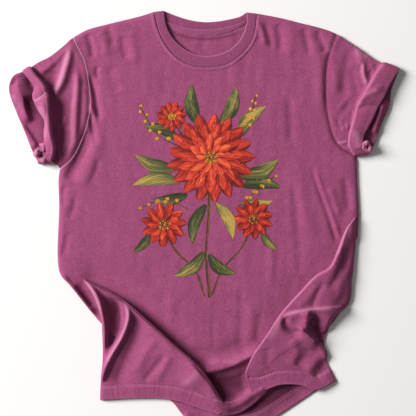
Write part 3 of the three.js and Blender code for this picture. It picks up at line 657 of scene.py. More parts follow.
# Sleeves
# Each is one piece of jersey, sewn into a tube and into the armhole. Its end is rolled up twice into a cuff,
# which is tacked at the underarm and stands open.
SLEEVE_GAP = 0.0003
SLEEVE_JOIN = 0.020             # how far from the armhole a sleeve takes to leave the body's own height
UNDER_RUN = 0.030               # how far a cuff reaches back from its mouth on the underside
HEIGHTS_AT = (0, 0.4, 0.7, 0.9, 0.96, 1.02, 1.5, 2)
CUFF_WALL = 0.0034
CUFF_GAP = 0.0004
CUFF_DENTS = 0.0008
TACK_TURNS = 1.55
LEFT_SLEEVE = {
    # The seam line is pale: partly dye lost at the seam and partly a painted highlight on the side facing the
    # light.
    "side": -1, "armhole": LEFT_ARMHOLE, "seam_dye_loss_and_painted_light": 0.3,
    "tack": ((-290, 120), 21, 1.9, -1),
    # Pale lines that paint highlights on the sleeve's ridges, with some dye lost there.
    "worn_and_painted_light": [
        ([(-241, 317), (-245, 295), (-252, 270), (-259, 248), (-270, 221)], 0.45, 5),
        ([(-230, 266), (-232, 234), (-236, 202), (-238, 169), (-238, 140), (-248, 115)], 0.15, 4),
    ],
    # Dark bands that paint the shade inside the cuff's mouth and under its rim, and a pale line that paints a
    # highlight on the roll below.
    "mouth_painted_light": [
        ([(-320, 270), (-322, 254), (-320, 234), (-315, 216), (-306, 198), (-297, 182)], -1.0, 10),
        ([(-349, 241), (-337, 254), (-317, 265)], -0.45, 4),
        ([(-346, 229), (-340, 209), (-333, 191)], 0.2, 4),
    ],
    # Pale lines that paint highlights on the cuff's crease and band.
    "cuff_painted_highlights": [
        ([(-317, 218), (-299, 216), (-281, 232)], 0.4, 2.5),
        ([(-302, 209), (-293, 187), (-288, 162), (-290, 137)], 0.3, 9),
    ],
    "fold": [(-236, 327), (-254, 311), (-277, 293), (-295, 284), (-312, 273)],
    "underarm": [(-258, 93), (-266, 101), (-274, 105)],
    "cuff_top": [(-312, 273), (-304, 261), (-282, 232), (-277, 189), (-273, 151), (-268, 126), (-274, 105)],
    "mouth_top": [(-324, 266), (-313, 254), (-302, 238), (-306, 221), (-297, 200),
                  (-283, 178), (-284, 160), (-286, 133), (-298, 104)],
    "mouth_under": [(-324, 267), (-342, 259), (-350, 241), (-348, 223), (-333, 185), (-320, 155),
                    (-310, 128), (-298, 104)],
    "heights": [7, 6, 4.8, 4.2, 7, 25, 20, 10],
    "creases": [
        ([(-238, 320), (-241, 295), (-247, 270), (-254, 247), (-265, 229), (-272, 216)], 7, 6, 9),
        ([(-299, 259), (-277, 277), (-256, 299), (-243, 313)], 5, 24, 6),
        ([(-288, 230), (-274, 245), (-266, 270)], -2.5, 9),
        ([(-227, 277), (-226, 245), (-228, 216), (-230, 191), (-230, 162), (-230, 139), (-238, 121),
          (-248, 104)], 5.5, 7, 6),
        ([(-214, 245), (-212, 216), (-212, 191), (-218, 162)], 2.2, 4, 5),
        ([(-225, 306), (-223, 288), (-220, 266)], -2.0, 4),
        ([(-256, 220), (-256, 187), (-256, 155), (-259, 130)], -4, 14),
        ([(-266, 162), (-256, 173), (-245, 187)], 3, 5),
        ([(-277, 164), (-270, 166), (-263, 164)], 4.0, 3),
        ([(-265, 130), (-259, 115), (-256, 97)], 4.0, 4, 4),
        ([(-270, 130), (-259, 128), (-247, 124)], 2.6, 3.5),
        ([(-302, 263), (-284, 270), (-270, 284)], 1.6, 5),
        ([(-274, 284), (-266, 295), (-256, 306)], -1.6, 5),
    ],
    "under_creases": [
        ([(-329, 266), (-326, 245), (-324, 221), (-321, 198), (-310, 173)], 9.5, 3, 12),
        ([(-346, 245), (-331, 254), (-317, 259)], -3, 5),
        ([(-340, 245), (-335, 230), (-337, 212)], 2.5, 7),
        ([(-349, 220), (-337, 207), (-324, 193)], -4, 4, 5),
        ([(-328, 173), (-313, 151), (-299, 130)], 5, 4, 8),
        ([(-333, 176), (-320, 151), (-310, 130)], -3, 3, 4),
    ],
    "cuff_creases": [
        ([(-315, 220), (-299, 216), (-279, 232)], -3, 3.5, 6),
        ([(-286, 220), (-284, 194), (-284, 162), (-286, 137)], 2.5, 3, 4),
        ([(-302, 194), (-292, 173), (-290, 148)], -2, 5),
    ],
}
RIGHT_SLEEVE = {
    # The seam line is painted dark, as the shade in the armhole's groove.
    "side": 1, "armhole": RIGHT_ARMHOLE, "seam_dye_loss_and_painted_light": -0.8,
    "tack": ((289, 131), 16, 2.6, 1),
    # A dark line that paints shade in the armhole's groove, and pale lines that paint highlights on the
    # sleeve's ridges, with some dye lost there.
    "worn_and_painted_light": [
        (RIGHT_ARMHOLE, -0.55, 2.4),
        ([(286, 284), (286, 263), (293, 239)], 0.35, 3),
        ([(274, 310), (281, 297), (295, 295)], 0.25, 7),
        ([(234, 138), (247, 139), (261, 140)], 0.3, 2),
    ],
    # A dark band that paints the shade inside the cuff's mouth.
    "mouth_painted_light": [
        ([(331, 245), (317, 216), (302, 187), (292, 158)], -0.6, 8),
    ],
    # Pale lines that paint highlights on the cuff's crease and lower end.
    "cuff_painted_highlights": [
        ([(284, 221), (295, 227), (310, 234)], 0.35, 2.5),
        ([(265, 162), (275, 148), (281, 126)], 0.25, 8),
    ],
    "fold": [(238, 334), (263, 318), (281, 306), (306, 288), (322, 281)],
    "underarm": [(274, 113), (272, 115), (269, 117)],
    "cuff_top": [(322, 281), (308, 263), (292, 234), (274, 202), (270, 185), (261, 148), (260, 135),
                 (269, 117)],
    "mouth_top": [(350, 270), (340, 254), (331, 239), (324, 223), (311, 200), (302, 180), (293, 164),
                  (286, 150), (286, 134), (298, 122)],
    "mouth_under": [(350, 270), (345, 256), (338, 241), (332, 202), (322, 180), (315, 162), (306, 136),
                    (298, 122)],
    "heights": [7, 7.5, 7, 7, 9, 16, 15, 13.5],
    "creases": [
        ([(229, 295), (232, 263), (234, 223)], 1.6, 10, 8),
        ([(263, 310), (257, 284), (252, 252), (250, 220)], -2.6, 10, 9),
        ([(275, 313), (279, 295), (284, 277)], 4.2, 9, 6),
        ([(286, 284), (286, 263), (293, 241)], 5.0, 4.5, 3.5),
        ([(297, 270), (301, 256), (301, 241)], -3.0, 4),
        ([(310, 281), (311, 270), (308, 259)], -3.0, 5),
        ([(266, 277), (270, 252), (277, 227)], -2.0, 7),
        ([(238, 180), (245, 169), (257, 173)], -2.0, 5),
        ([(247, 162), (254, 167), (261, 164)], 2.2, 5),
        ([(236, 137), (247, 139), (259, 140)], 3.2, 2.6),
        ([(241, 130), (250, 133), (259, 135)], -3.0, 3),
        ([(250, 121), (256, 126), (261, 131)], 3.0, 2.6),
        ([(241, 198), (256, 216), (270, 230)], 1.0, 5),
        ([(234, 173), (248, 194), (263, 209)], -1.0, 5),
    ],
    "under_creases": [
        ([(324, 223), (319, 202), (311, 176), (302, 151)], 7, 7, 8),
        ([(324, 184), (313, 166)], -2, 4),
    ],
    "cuff_creases": [
        ([(270, 214), (288, 223), (304, 232), (322, 239)], 2.6, 3.5, 7),
        ([(266, 194), (284, 202), (306, 205), (324, 202)], -2.6, 6),
        ([(263, 166), (274, 148), (281, 126)], 3.0, 9),
        ([(302, 284), (328, 275), (356, 266)], 1.2, 4),
    ],
}


def sleeve_surface(sleeve, around, down):
    """Places on a sleeve's tube. around is 0 to 1 from its upper fold over the top, down is 0 at the armhole,
    1 where the cuff begins and 2 at the mouth."""
    armhole = line(sleeve["armhole"])
    cuff_top, mouth_top, mouth_under = (line(sleeve[key]) for key in ("cuff_top", "mouth_top", "mouth_under"))
    run = UNDER_RUN * np.sin(np.pi * mouth_under[1])
    cuff_under = (mouth_under[0] - np.column_stack([sleeve["side"] * run, 0 * run]), mouth_under[1])
    ends = np.array([0.0, 1.0])

    def straight(a, b, end):
        return np.vstack([along(a, end), along(b, end)]), ends

    def closed_up(path, start):
        places, shares = path
        return places + (start - places[0]) * (1 - shares)[:, None], shares

    seam = (armhole[0] + np.array([sleeve["side"] * SLEEVE_GAP, 0]), armhole[1])
    fold = closed_up(line(sleeve["fold"]), seam[0][0])
    underarm = closed_up(line(sleeve["underarm"]), seam[0][-1])
    low, high = ends[:1], ends[1:]
    across = (1 - np.cos(2 * np.pi * around)) / 2
    sleeve_down, cuff_down = np.clip(down, 0, 1), np.clip(down - 1, 0, 1)
    upper_places = np.where(
        (down <= 1)[:, None],
        patch(seam, cuff_top, fold, underarm, across, sleeve_down),
        patch(cuff_top, mouth_top, straight(cuff_top, mouth_top, low), straight(cuff_top, mouth_top, high),
              across, cuff_down))
    under_places = np.where(
        (down <= 1)[:, None],
        patch(seam, cuff_under, fold, underarm, across, sleeve_down),
        patch(cuff_under, mouth_under, straight(cuff_under, mouth_under, low),
              straight(cuff_under, mouth_under, high), across, cuff_down))
    upper = around <= 0.5
    places = np.where(upper[:, None], upper_places, under_places)
    top = np.interp(down, HEIGHTS_AT, np.array(sleeve["heights"])) / 1000
    middle = np.interp(down, (0, 1), (0.0026, 0.006))
    fullness = np.abs(np.sin(2 * np.pi * around))
    gain = relief(sleeve["creases"], places) + ripple(places, 0.04, 0.0012, 9)
    gain = np.where(down <= 1, gain, 0) + relief(sleeve["cuff_creases"], places) * (down > 0.95)
    lift = relief(sleeve["under_creases"], places) * smooth((down - 0.6) / 0.3)
    bottom = JERSEY + (CUFF_WALL + CUFF_GAP) * smooth((down - 0.95) / 0.08)
    height = np.where(upper, middle + (top + gain - middle) * fullness**0.55,
                      middle + (bottom + lift - middle) * fullness**0.35)
    height = np.maximum(height, bottom)
    return np.column_stack([places, height])


def sleeve_place(sleeve):
    armhole = line(sleeve["armhole"])

    def place(around, down):
        points = sleeve_surface(sleeve, around, down)
        seam = np.abs(nearest(armhole, points[:, :2])[0])
        upper = around < 0.5
        joined = (seam < SLEEVE_JOIN) & upper
        level = body_height(points[joined, :2])
        points[joined, 2] = level + (points[joined, 2] - level) * smooth(seam[joined] / SLEEVE_JOIN)
        points[:, 2] -= np.where(upper, SEAM_GROOVE * np.exp(-((seam / SEAM_REACH) ** 2)), 0)
        # The seam line, painted highlights on the upper half's ridges and painted shade inside the cuff's mouth
        # on the under half.
        dye_loss_and_painted_light = sleeve["seam_dye_loss_and_painted_light"] * np.exp(-((seam / SEAM_LINE_WIDTH) ** 2))
        dye_loss_and_painted_light = stronger(dye_loss_and_painted_light, painted_light_and_dye_loss(sleeve["worn_and_painted_light"], points[:, :2]) * upper)
        dye_loss_and_painted_light = stronger(dye_loss_and_painted_light, painted_light_and_dye_loss(sleeve["mouth_painted_light"], points[:, :2]) * ~upper)
        return points, dye_loss_and_painted_light, np.full(len(points), JERSEY / HEM)

    return place


def cuff_place(sleeve):
    """The rolled cuff: a flattened ring of cloth around the sleeve's end."""

    def place(around, turn):
        angle = 2 * np.pi * turn
        down = 1.5 + 0.5 * np.cos(angle)
        here = sleeve_surface(sleeve, around, down)
        ahead = sleeve_surface(sleeve, (around + 0.004) % 1, down) - here
        outwards = sleeve_surface(sleeve, around, np.minimum(down + 0.02, 2)) - sleeve_surface(
            sleeve, around, np.maximum(down - 0.02, 1))
        normal = np.cross(outwards, ahead) * -sleeve["side"]
        normal /= np.linalg.norm(normal, axis=1)[:, None] + 1e-12
        half = CUFF_WALL / 2
        away = half + CUFF_GAP + half * np.sign(np.sin(angle)) * np.abs(np.sin(angle)) ** 0.5
        away += np.array([CUFF_DENTS * noise.noise((t * 15, a * 4, sleeve["side"]))
                          for t, a in zip(turn, around)])
        points = here + normal * away[:, None]
        points[:, 2] = np.maximum(points[:, 2], 0.0001)
        dye_loss_and_painted_light = 0.25 * np.abs(np.cos(angle)) ** 10
        inside = (around > 0.5) & (np.sin(angle) < 0)
        # Painted highlights on the cuff's outside, and painted shade inside its mouth on its under half.
        dye_loss_and_painted_light = stronger(dye_loss_and_painted_light, painted_light_and_dye_loss(sleeve["cuff_painted_highlights"], points[:, :2]) * ~inside)
        dye_loss_and_painted_light = stronger(dye_loss_and_painted_light, painted_light_and_dye_loss(sleeve["mouth_painted_light"], points[:, :2]) * (around > 0.5))
        return points, dye_loss_and_painted_light, np.full(len(points), 0.1)

    return place


def tack_place(sleeve):
    """The bunched end of the cuff, where it is rolled in on itself and tacked down."""
    centre, reach, start, way = sleeve["tack"]

    def place(along_roll, turn):
        swing = start + way * along_roll * TACK_TURNS * 2 * np.pi
        spiral = reach * (0.62 - 0.56 * along_roll**0.8)
        middle = np.column_stack([centre[0] + spiral * np.cos(swing),
                                  centre[1] + 1.1 * spiral * np.sin(swing)])
        angle = 2 * np.pi * turn
        blunt = np.abs(np.sin(np.pi * np.clip(along_roll, 0.02, 0.985))) ** 0.35
        half = reach * (0.46 - 0.2 * along_roll) * blunt
        crumple = np.array([noise.noise((a * 9, math.sin(t) * 0.9, math.cos(t) * 0.9 + 4)) for a, t in
                            zip(along_roll, angle)])
        half = half * (1 + 0.7 * crumple)
        outwards = np.column_stack([np.cos(swing), np.sin(swing)])
        places = (middle + outwards * (half * np.cos(angle))[:, None] + FRAME_SHIFT) / 1000
        height = 8 + 7 * along_roll + 1.5 * np.sin(swing) + half * 1.25 * np.sin(angle)
        # A painted highlight along the upper side of the roll, where it faces the light.
        dye_loss_and_painted_light = 0.35 * np.clip(np.sin(angle + 0.6), 0, 1) ** 4
        points = np.column_stack([places, np.maximum(height, 0.3) / 1000])
        return points, dye_loss_and_painted_light, np.full(len(places), 0.1)

    return place


def add_sleeve(side_name, sleeve):
    rows = np.concatenate([np.linspace(0, 1, 66), np.linspace(1.05, 2, 16)])
    tube = sheet_mesh("tube", np.linspace(0, 1, 181), rows, sleeve_place(sleeve), tube=True)
    sleeve_cloth = cloth_piece(side_name + "_sleeve_jersey", [tube], HEM, jersey)
    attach(sleeve_cloth, "root")
    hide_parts(side_name + "_sleeve")
    ring = sheet_mesh("ring", np.linspace(0, 1, 241), np.linspace(0, 1, 29), cuff_place(sleeve), tube=True)
    roll = sheet_mesh("roll", np.linspace(0, 1, 121), np.linspace(0, 1, 25), tack_place(sleeve), tube=True)
    bm = bmesh.new()
    bm.from_mesh(ring)
    bm.from_mesh(roll)
    bmesh.ops.holes_fill(bm, edges=[edge for edge in bm.edges if edge.is_boundary], sides=0)
    bmesh.ops.recalc_face_normals(bm, faces=bm.faces)
    bm.to_mesh(ring)
    bm.free()
    bpy.data.meshes.remove(roll)
    cuff = finished_piece(side_name + "_cuff", ring, jersey)
    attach(cuff, "root")
    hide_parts(side_name + "_sleeve")


add_sleeve("left", LEFT_SLEEVE)
add_sleeve("right", RIGHT_SLEEVE)

# Neck rib
# A closed band of rib knit, folded double and sewn into the neck. It lies flat over the front, turns over at
# each side and lies flat again along the back, where its inside shows.
RIB = 0.0016
RIB_GAP = 0.0006
RIB_FRONT_EDGE = [(-72, 376), (-71, 364), (-67, 346), (-58, 329), (-43, 313), (-25, 301), (-7, 295),
                  (14, 295), (32, 299), (49, 308), (65, 324), (74, 344), (77, 360), (76, 373)]
RIB_BACK_EDGE = [(76, 373), (65, 366), (50, 362), (29, 358), (5, 356), (-16, 358), (-34, 362), (-52, 368),
                 (-65, 373), (-72, 376)]
RIB_FOLD_HEIGHT = 0.0042
FRONT_SHARE = 0.62


def rib_place(length, across):
    in_front = length <= FRONT_SHARE
    share = np.where(in_front, length / FRONT_SHARE, (length - FRONT_SHARE) / (1 - FRONT_SHARE))
    free = np.where(in_front[:, None], along(line(RIB_FRONT_EDGE), share), along(line(RIB_BACK_EDGE), share))
    sewn = np.where(in_front[:, None], along(neck_seam, share), along(line(BACK_NECK_SEAM), share))
    to_free = free - sewn
    to_free /= np.linalg.norm(to_free, axis=1)[:, None]
    start = sewn + to_free * RIB_GAP
    ring = 2 * np.pi * across
    places = start + (free - start) * ((1 - np.cos(ring)) / 2)[:, None]
    flat = np.where(in_front, FRONT_HEIGHT + 0.0004, RIB / 2 + 0.0003)
    middle = RIB_FOLD_HEIGHT + (flat - RIB_FOLD_HEIGHT) * rolled(np.minimum(share, 1 - share) * 7, 1)
    dome = np.sign(np.sin(ring)) * np.abs(np.sin(ring)) ** 0.55
    height = middle - dome * RIB * 0.55 * np.where(in_front, 1, -1)
    dye_loss_and_painted_light = 0.45 * np.exp(-(((1 + np.cos(ring)) / 0.12) ** 2))
    dye_loss_and_painted_light += 0.3 * np.exp(-(((1 - np.cos(ring)) / 0.05) ** 2))
    return np.column_stack([places, height]), dye_loss_and_painted_light, np.full(len(places), 0.1)


RIB_DYE = ("#7b2f54", "#8d4066", "#cd8fae")
# The same dyed cotton knitted as rib: its fine ridges run across the band, and it took the dye a little deeper.
rib_knit = dyed_cotton("garment_dyed_rib_knit", RIB_DYE, wales=300)
rib_mesh = sheet_mesh("neck_rib_knit", np.linspace(0, 1, 401), np.linspace(0, 1, 33), rib_place, tube=True)
neck_rib = finished_piece("neck_rib_knit", rib_mesh, rib_knit)
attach(neck_rib, "root")
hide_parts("neck_rib")

# Neck tape
# A strip of the same jersey, folded under at its edges and sewn down over the back neck seam, inside the
# shirt. It covers the seam's raw edge, and its two ends are caught under the rib.
TAPE_SHARE = (0.12, 0.88)
TAPE_WIDTH = 0.0105
TAPE_TOP = 0.0012
TAPE_HEIGHT = 0.0019


def tape_place(length, across):
    share = TAPE_SHARE[0] + (TAPE_SHARE[1] - TAPE_SHARE[0]) * length
    ring = 2 * np.pi * across
    places = along(line(BACK_NECK_SEAM), share)
    narrowing = 1 - 0.35 * (1 - smooth(np.minimum(length, 1 - length) / 0.3))
    places[:, 1] += TAPE_TOP - TAPE_WIDTH * narrowing * (1 - np.cos(ring)) / 2
    dome = np.sign(np.sin(ring)) * np.abs(np.sin(ring)) ** 0.5
    height = TAPE_HEIGHT + 0.0006 * (1 + np.cos(ring)) + 0.0006 * dome
    dye_loss_and_painted_light = 0.5 * np.abs(np.cos(ring)) ** 12
    return np.column_stack([places, height]), dye_loss_and_painted_light, np.full(len(places), 0.1)


TAPE_DYE = ("#7c3459", "#8f466b", "#d391b0")
# The shirt's own dyed jersey, a little paler for being pressed and worn at its two edges.
tape_jersey = dyed_cotton("garment_dyed_cotton_tape", TAPE_DYE)
tape_mesh = sheet_mesh("neck_tape_jersey", np.linspace(0, 1, 121), np.linspace(0, 1, 21), tape_place,
                       tube=True)
neck_tape = finished_piece("neck_tape_jersey", tape_mesh, tape_jersey)
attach(neck_tape, "root")
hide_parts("neck_tape")

# Stitches
# Dyed cotton thread, which took the dye a little lighter than the cloth. Two rows hold the hems, the neck
# band and the tape, and one the middle of the front's hem, which shows least. Each stitch lies on the
# finished cloth, in the dent that it pulls into it.
STITCH = (0.0030, 0.0010, 0.0007)
STITCH_PITCH = 0.0042
STITCH_ROWS = {
    "left_hem": (LEFT_HEM[:-1], (HEM_DEPTH, HEM_DEPTH - 0.0032), 1),
    "middle_hem": (BODY_FOOT[3:9], (HEM_DEPTH,), 1),
    "right_hem": (RIGHT_HEM, (HEM_DEPTH, HEM_DEPTH - 0.0032), 1),
    "back_hem": (BACK_HEM[:6], (HEM_DEPTH, HEM_DEPTH - 0.0035), -1),
    "neck": (NECK_SEAM, (0.0030, 0.0052), -1),
    "tape": (BACK_NECK_SEAM[1:-1], (-TAPE_TOP + 0.0012, -TAPE_TOP + TAPE_WIDTH * 0.86), 1),
}


def cloth_below(pieces):
    """The finished surfaces of some pieces, for laying other things on."""
    depsgraph = bpy.context.evaluated_depsgraph_get()
    return [BVHTree.FromObject(piece, depsgraph) for piece in pieces]


def lie_on(trees, place):
    """The highest point of the surfaces under a place seen from above, and which way it faces there."""
    hits = [tree.ray_cast(Vector((*place, 0.2)), Vector((0, 0, -1)))[:2] for tree in trees]
    return max((hit for hit in hits if hit[0] is not None), key=lambda hit: hit[0].z, default=(None, None))


def stitch_row(bm, trees, points, inset):
    places, shares = line(points)
    run = np.sum(np.linalg.norm(np.diff(places, axis=0), axis=1))
    steps = np.arange(0.5, int(run / STITCH_PITCH)) * STITCH_PITCH / run
    middles, ahead = along((places, shares), steps), along((places, shares), np.minimum(steps + 0.002, 1))
    for middle, further in zip(middles, ahead):
        way = (further - middle) / np.linalg.norm(further - middle)
        at, facing = lie_on(trees, middle + np.array([-way[1], way[0]]) * inset)
        if at is None or facing.z < 0.3:
            continue
        lengthwise = Vector((*way, 0))
        lengthwise = (lengthwise - facing * lengthwise.dot(facing)).normalized()
        turn = Matrix((lengthwise, facing.cross(lengthwise), facing)).transposed().to_4x4()
        size = Matrix.Diagonal((STITCH[0] / 2, STITCH[1] / 2, STITCH[2] / 2, 1))
        bmesh.ops.create_uvsphere(bm, u_segments=6, v_segments=4, radius=1,
                                  matrix=Matrix.Translation(at + facing * 0.0001) @ turn @ size)


def cotton_thread(name, colour):
    """Dyed cotton sewing thread, three plies twisted: matt, with a fine slanting grain, drawn coarse."""
    material = bpy.data.materials.new(name)
    material.use_nodes = True
    tree = material.node_tree
    shader = tree.nodes["Principled BSDF"]
    shader.inputs["Roughness"].default_value = 0.8
    shader.inputs["Specular IOR Level"].default_value = 0.3
    place = node(tree, "TexCoord")
    plies = node(tree, "TexWave", {"bands_direction": "DIAGONAL"}, {"Scale": 500, "Distortion": 1},
                 Vector=place.outputs["Object"])
    uneven = node(tree, "TexNoise", None, {"Scale": 160, "Detail": 1}, Vector=place.outputs["Object"])
    dyed = node(tree, "Mix", {"data_type": "RGBA"}, {"A": linear(colour[0]), "B": linear(colour[1])},
                Factor=uneven.outputs["Fac"])
    tree.links.new(dyed.outputs["Result"], shader.inputs["Base Color"])
    twist = node(tree, "Bump", None, {"Strength": 0.4, "Distance": 0.0003}, Height=plies.outputs["Fac"])
    tree.links.new(twist.outputs["Normal"], shader.inputs["Normal"])
    return material


THREAD_DYE = ("#a2557e", "#c98aab")
thread = cotton_thread("dyed_cotton_thread", THREAD_DYE)
lying_on = cloth_below([*front_parts.values(), back_panel, neck_tape])
for seam_name, (points, insets, side) in STITCH_ROWS.items():
    bm = bmesh.new()
    for inset in insets:
        stitch_row(bm, lying_on, points, side * inset)
    row_mesh = bpy.data.meshes.new(seam_name + "_stitches")
    bm.to_mesh(row_mesh)
    bm.free()
    stitches = finished_piece(seam_name + "_stitches", row_mesh, thread)
    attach(stitches, "root")

# Chest print
# A generic bouquet printed in thick soft ink on the jersey: one big bloom, three daisies, seed sprays and
# leaves. The ink follows the cloth's wrinkles, is a little worn, and is laid down one colour after another.
INK = 0.00022
INK_STEP = 0.00004
GOLDEN_ANGLE = 2.39996
BLOOM = (12, 112)
BLOOM_RINGS = ((17, 80, 25, 0.0), (15, 61, 22, 0.2), (12, 43, 17, 0.05), (9, 27, 12, 0.3))
DAISIES = (((-72, -8), 41, 13, 0.1), ((88, 2), 36, 12, 0.4), ((-58, 186), 27, 11, 0.2))
LEAF_SPRAYS = (
    # where each leaf starts, where its tip is, its width and how far it bows, in millimetres
    ((-48, 92), (-124, 118), 25, 8), ((-44, 70), (-128, 62), 24, -9), ((-30, 46), (-94, 38), 20, 6),
    ((64, 78), (134, 110), 27, -9), ((70, 62), (138, 58), 25, 8), ((60, 150), (112, 204), 24, 7),
    ((30, 172), (58, 240), 25, -7), ((-10, 170), (-22, 244), 25, 7), ((-46, 146), (-108, 168), 22, -7),
    ((22, 30), (52, -34), 22, 8), ((2, 28), (-22, -44), 22, -8), ((8, -62), (58, -96), 22, -9),
    ((0, -58), (-54, -100), 23, 9), ((66, 30), (124, 34), 18, -5), ((-96, -22), (-128, -58), 16, 5),
    ((104, -20), (132, -54), 15, -5),
)
STEMS = (
    (((10, 60), (8, 0), (4, -60), (10, -140)), 4.6), (((-70, -20), (-50, -56), (-16, -90), (2, -138)), 3.4),
    (((86, -14), (66, -52), (34, -88), (14, -136)), 3.4), (((-58, 182), (-44, 160), (-24, 140)), 3.0),
    (((60, 150), (80, 176), (92, 222)), 2.4), (((-40, 130), (-82, 152), (-116, 204)), 2.4),
    (((56, 20), (84, 44), (126, 78)), 2.2), (((-30, 20), (-70, 36), (-118, 20)), 2.2),
)
SEED_SPRAYS = (((60, 150), (80, 176), (92, 222)), ((-40, 130), (-82, 152), (-116, 204)),
               ((56, 20), (84, 44), (126, 78)), ((-30, 20), (-70, 36), (-118, 20)))


def printed_shape(bm, trees, start, tip, width, bow, level, blunt=1.0, tone=0.5):
    """One leaf or petal of ink, grown from start to tip and pressed onto the cloth. Its tone runs from its
    edges, which are dark, to its middle."""
    start, tip = np.array(start, float), np.array(tip, float)
    span = tip - start
    across = np.array([-span[1], span[0]]) / np.linalg.norm(span)
    made = bmesh.ops.create_grid(bm, x_segments=4, y_segments=11, size=1, calc_uvs=True)["verts"]
    tone_layer, ink_layer = bm.verts.layers.float["tone"], bm.verts.layers.float["grain"]
    for vert in made:
        side, far = vert.co.x, (vert.co.y + 1) / 2
        half = width / 2 * math.sin(math.pi * min(1, 0.04 + far * 0.96) ** blunt) ** 0.8
        wave = 0.06 * width * noise.noise((far * 4, start[0] * 0.13, tip[1] * 0.17))
        place = start + span * far + across * (side * half + bow * math.sin(math.pi * far) + wave)
        place = (place + FRAME_SHIFT) / 1000
        vert[tone_layer] = tone + 0.4 * (1 - abs(side) ** 2) - 0.45 * (1 - far) ** 1.5 + 0.14 * side
        vert[ink_layer] = side * 5 + tip[0]
        at, _ = lie_on(trees, place)
        vert.co = (*place, at.z + INK + level * INK_STEP)


def printed_stem(bm, trees, points, width, level):
    made = bmesh.ops.create_grid(bm, x_segments=2, y_segments=36, size=1, calc_uvs=True)["verts"]
    tone_layer, ink_layer = bm.verts.layers.float["tone"], bm.verts.layers.float["grain"]
    path = line(points)
    for vert in made:
        far = (vert.co.y + 1) / 2
        here, ahead = (along(path, np.array([min(max(far + step, 0), 1)]))[0] for step in (-0.01, 0.01))
        way = (ahead - here) / np.linalg.norm(ahead - here)
        knobbly = 1 + 0.4 * noise.noise((far * 14, points[0][0] * 0.1, 3))
        place = (here + ahead) / 2 + np.array([-way[1], way[0]]) * vert.co.x * width * knobbly / 2000
        vert[tone_layer] = 0.45 + 0.3 * vert.co.x
        vert[ink_layer] = vert.co.x * 3 + points[0][0]
        at, _ = lie_on(trees, place)
        vert.co = (*place, at.z + INK + level * INK_STEP)


def printed_dot(bm, trees, centre, radius, level, tone):
    made = bmesh.ops.create_circle(bm, cap_ends=True, cap_tris=True, segments=9, radius=radius)["verts"]
    tone_layer, ink_layer = bm.verts.layers.float["tone"], bm.verts.layers.float["grain"]
    for vert in made:
        place = (np.array([centre[0] + vert.co.x, centre[1] + vert.co.y]) + FRAME_SHIFT) / 1000
        vert[tone_layer] = tone if vert.co.length < radius / 2 else tone - 0.35
        vert[ink_layer] = vert.co.x
        at, _ = lie_on(trees, place)
        vert.co = (*place, at.z + INK + level * INK_STEP)


def screen_ink(name, colours, strokes=5.5):
    """Water-based screen ink on jersey: matt and slightly rubbery, and cracked and thin where the knit's
    loops stand up, so specks of it are darker. Brush-like strokes about 2 mm wide run along each leaf and
    petal."""
    material = bpy.data.materials.new(name)
    material.use_nodes = True
    tree = material.node_tree
    shader = tree.nodes["Principled BSDF"]
    shader.inputs["Roughness"].default_value = 0.72
    shader.inputs["Specular IOR Level"].default_value = 0.3
    place = node(tree, "TexCoord")
    tone = node(tree, "Attribute", {"attribute_name": "tone"})
    lengthwise = node(tree, "Attribute", {"attribute_name": "grain"})
    cut = node(tree, "CombineXYZ", None, None, X=lengthwise.outputs["Fac"])
    strokes_along = node(tree, "VectorMath", {"operation": "MULTIPLY_ADD"}, {1: (60, 60, 60)},
                         _0=place.outputs["Object"], _2=cut.outputs["Vector"])
    painted = node(tree, "TexNoise", None, {"Scale": strokes / 5, "Detail": 5, "Roughness": 0.7},
                   Vector=strokes_along.outputs["Vector"])
    shift = node(tree, "MapRange", None, {"From Min": 0.3, "From Max": 0.7, "To Min": -0.5, "To Max": 0.5},
                 Value=painted.outputs["Fac"])
    mixed = node(tree, "Math", {"operation": "ADD"}, None, _0=tone.outputs["Fac"], _1=shift.outputs[0])
    paint = node(tree, "ValToRGB", None, None, Fac=mixed.outputs[0])
    ramp = paint.color_ramp
    ramp.elements[0].position, ramp.elements[0].color = 0.1, linear(colours[0])
    ramp.elements[1].position, ramp.elements[1].color = 1.0, linear(colours[-1])
    for step, colour in enumerate(colours[1:-1], 1):
        ramp.elements.new(0.1 + 0.9 * step / (len(colours) - 1)).color = linear(colour)
    loops = node(tree, "TexNoise", None, {"Scale": 480, "Detail": 2, "Roughness": 0.6},
                 Vector=place.outputs["Object"])
    specks = node(tree, "MapRange", None, {"From Min": 0.56, "From Max": 0.72, "To Min": 0, "To Max": 0.45},
                  Value=loops.outputs["Fac"])
    worn_and_painted_light = node(tree, "Mix", {"data_type": "RGBA"}, {"B": linear(colours[0])}, Factor=specks.outputs[0],
                A=paint.outputs[0])
    tree.links.new(worn_and_painted_light.outputs["Result"], shader.inputs["Base Color"])
    dents = node(tree, "Bump", None, {"Strength": 0.4, "Distance": 0.0008}, Height=loops.outputs["Fac"])
    tree.links.new(dents.outputs["Normal"], shader.inputs["Normal"])
    return material


def printed_piece(name, material, draw):
    bm = bmesh.new()
    bm.loops.layers.uv.new("cut")
    bm.verts.layers.float.new("tone")
    bm.verts.layers.float.new("grain")
    draw(bm)
    mesh = bpy.data.meshes.new(name)
    bm.to_mesh(mesh)
    bm.free()
    piece = finished_piece(name, mesh, material)
    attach(piece, "root")


def petal_rings(bm, centre, rings, level):
    for step, (count, length, width, turn) in enumerate(rings):
        for petal in range(count):
            angle = 2 * math.pi * (petal + turn) / count
            wobble = 1 + 0.07 * noise.noise((petal * 1.7, step * 3.1, centre[0] * 0.1))
            way = np.array([math.cos(angle), math.sin(angle)])
            printed_shape(bm, chest, centre + way * length * 0.12, centre + way * length * wobble, width, 1.5,
                          level + step * 2 + petal % 2, 1.35,
                          0.16 + 0.12 * step + 0.2 * noise.noise((petal * 2.3, step * 1.9, centre[1] * 0.1)))


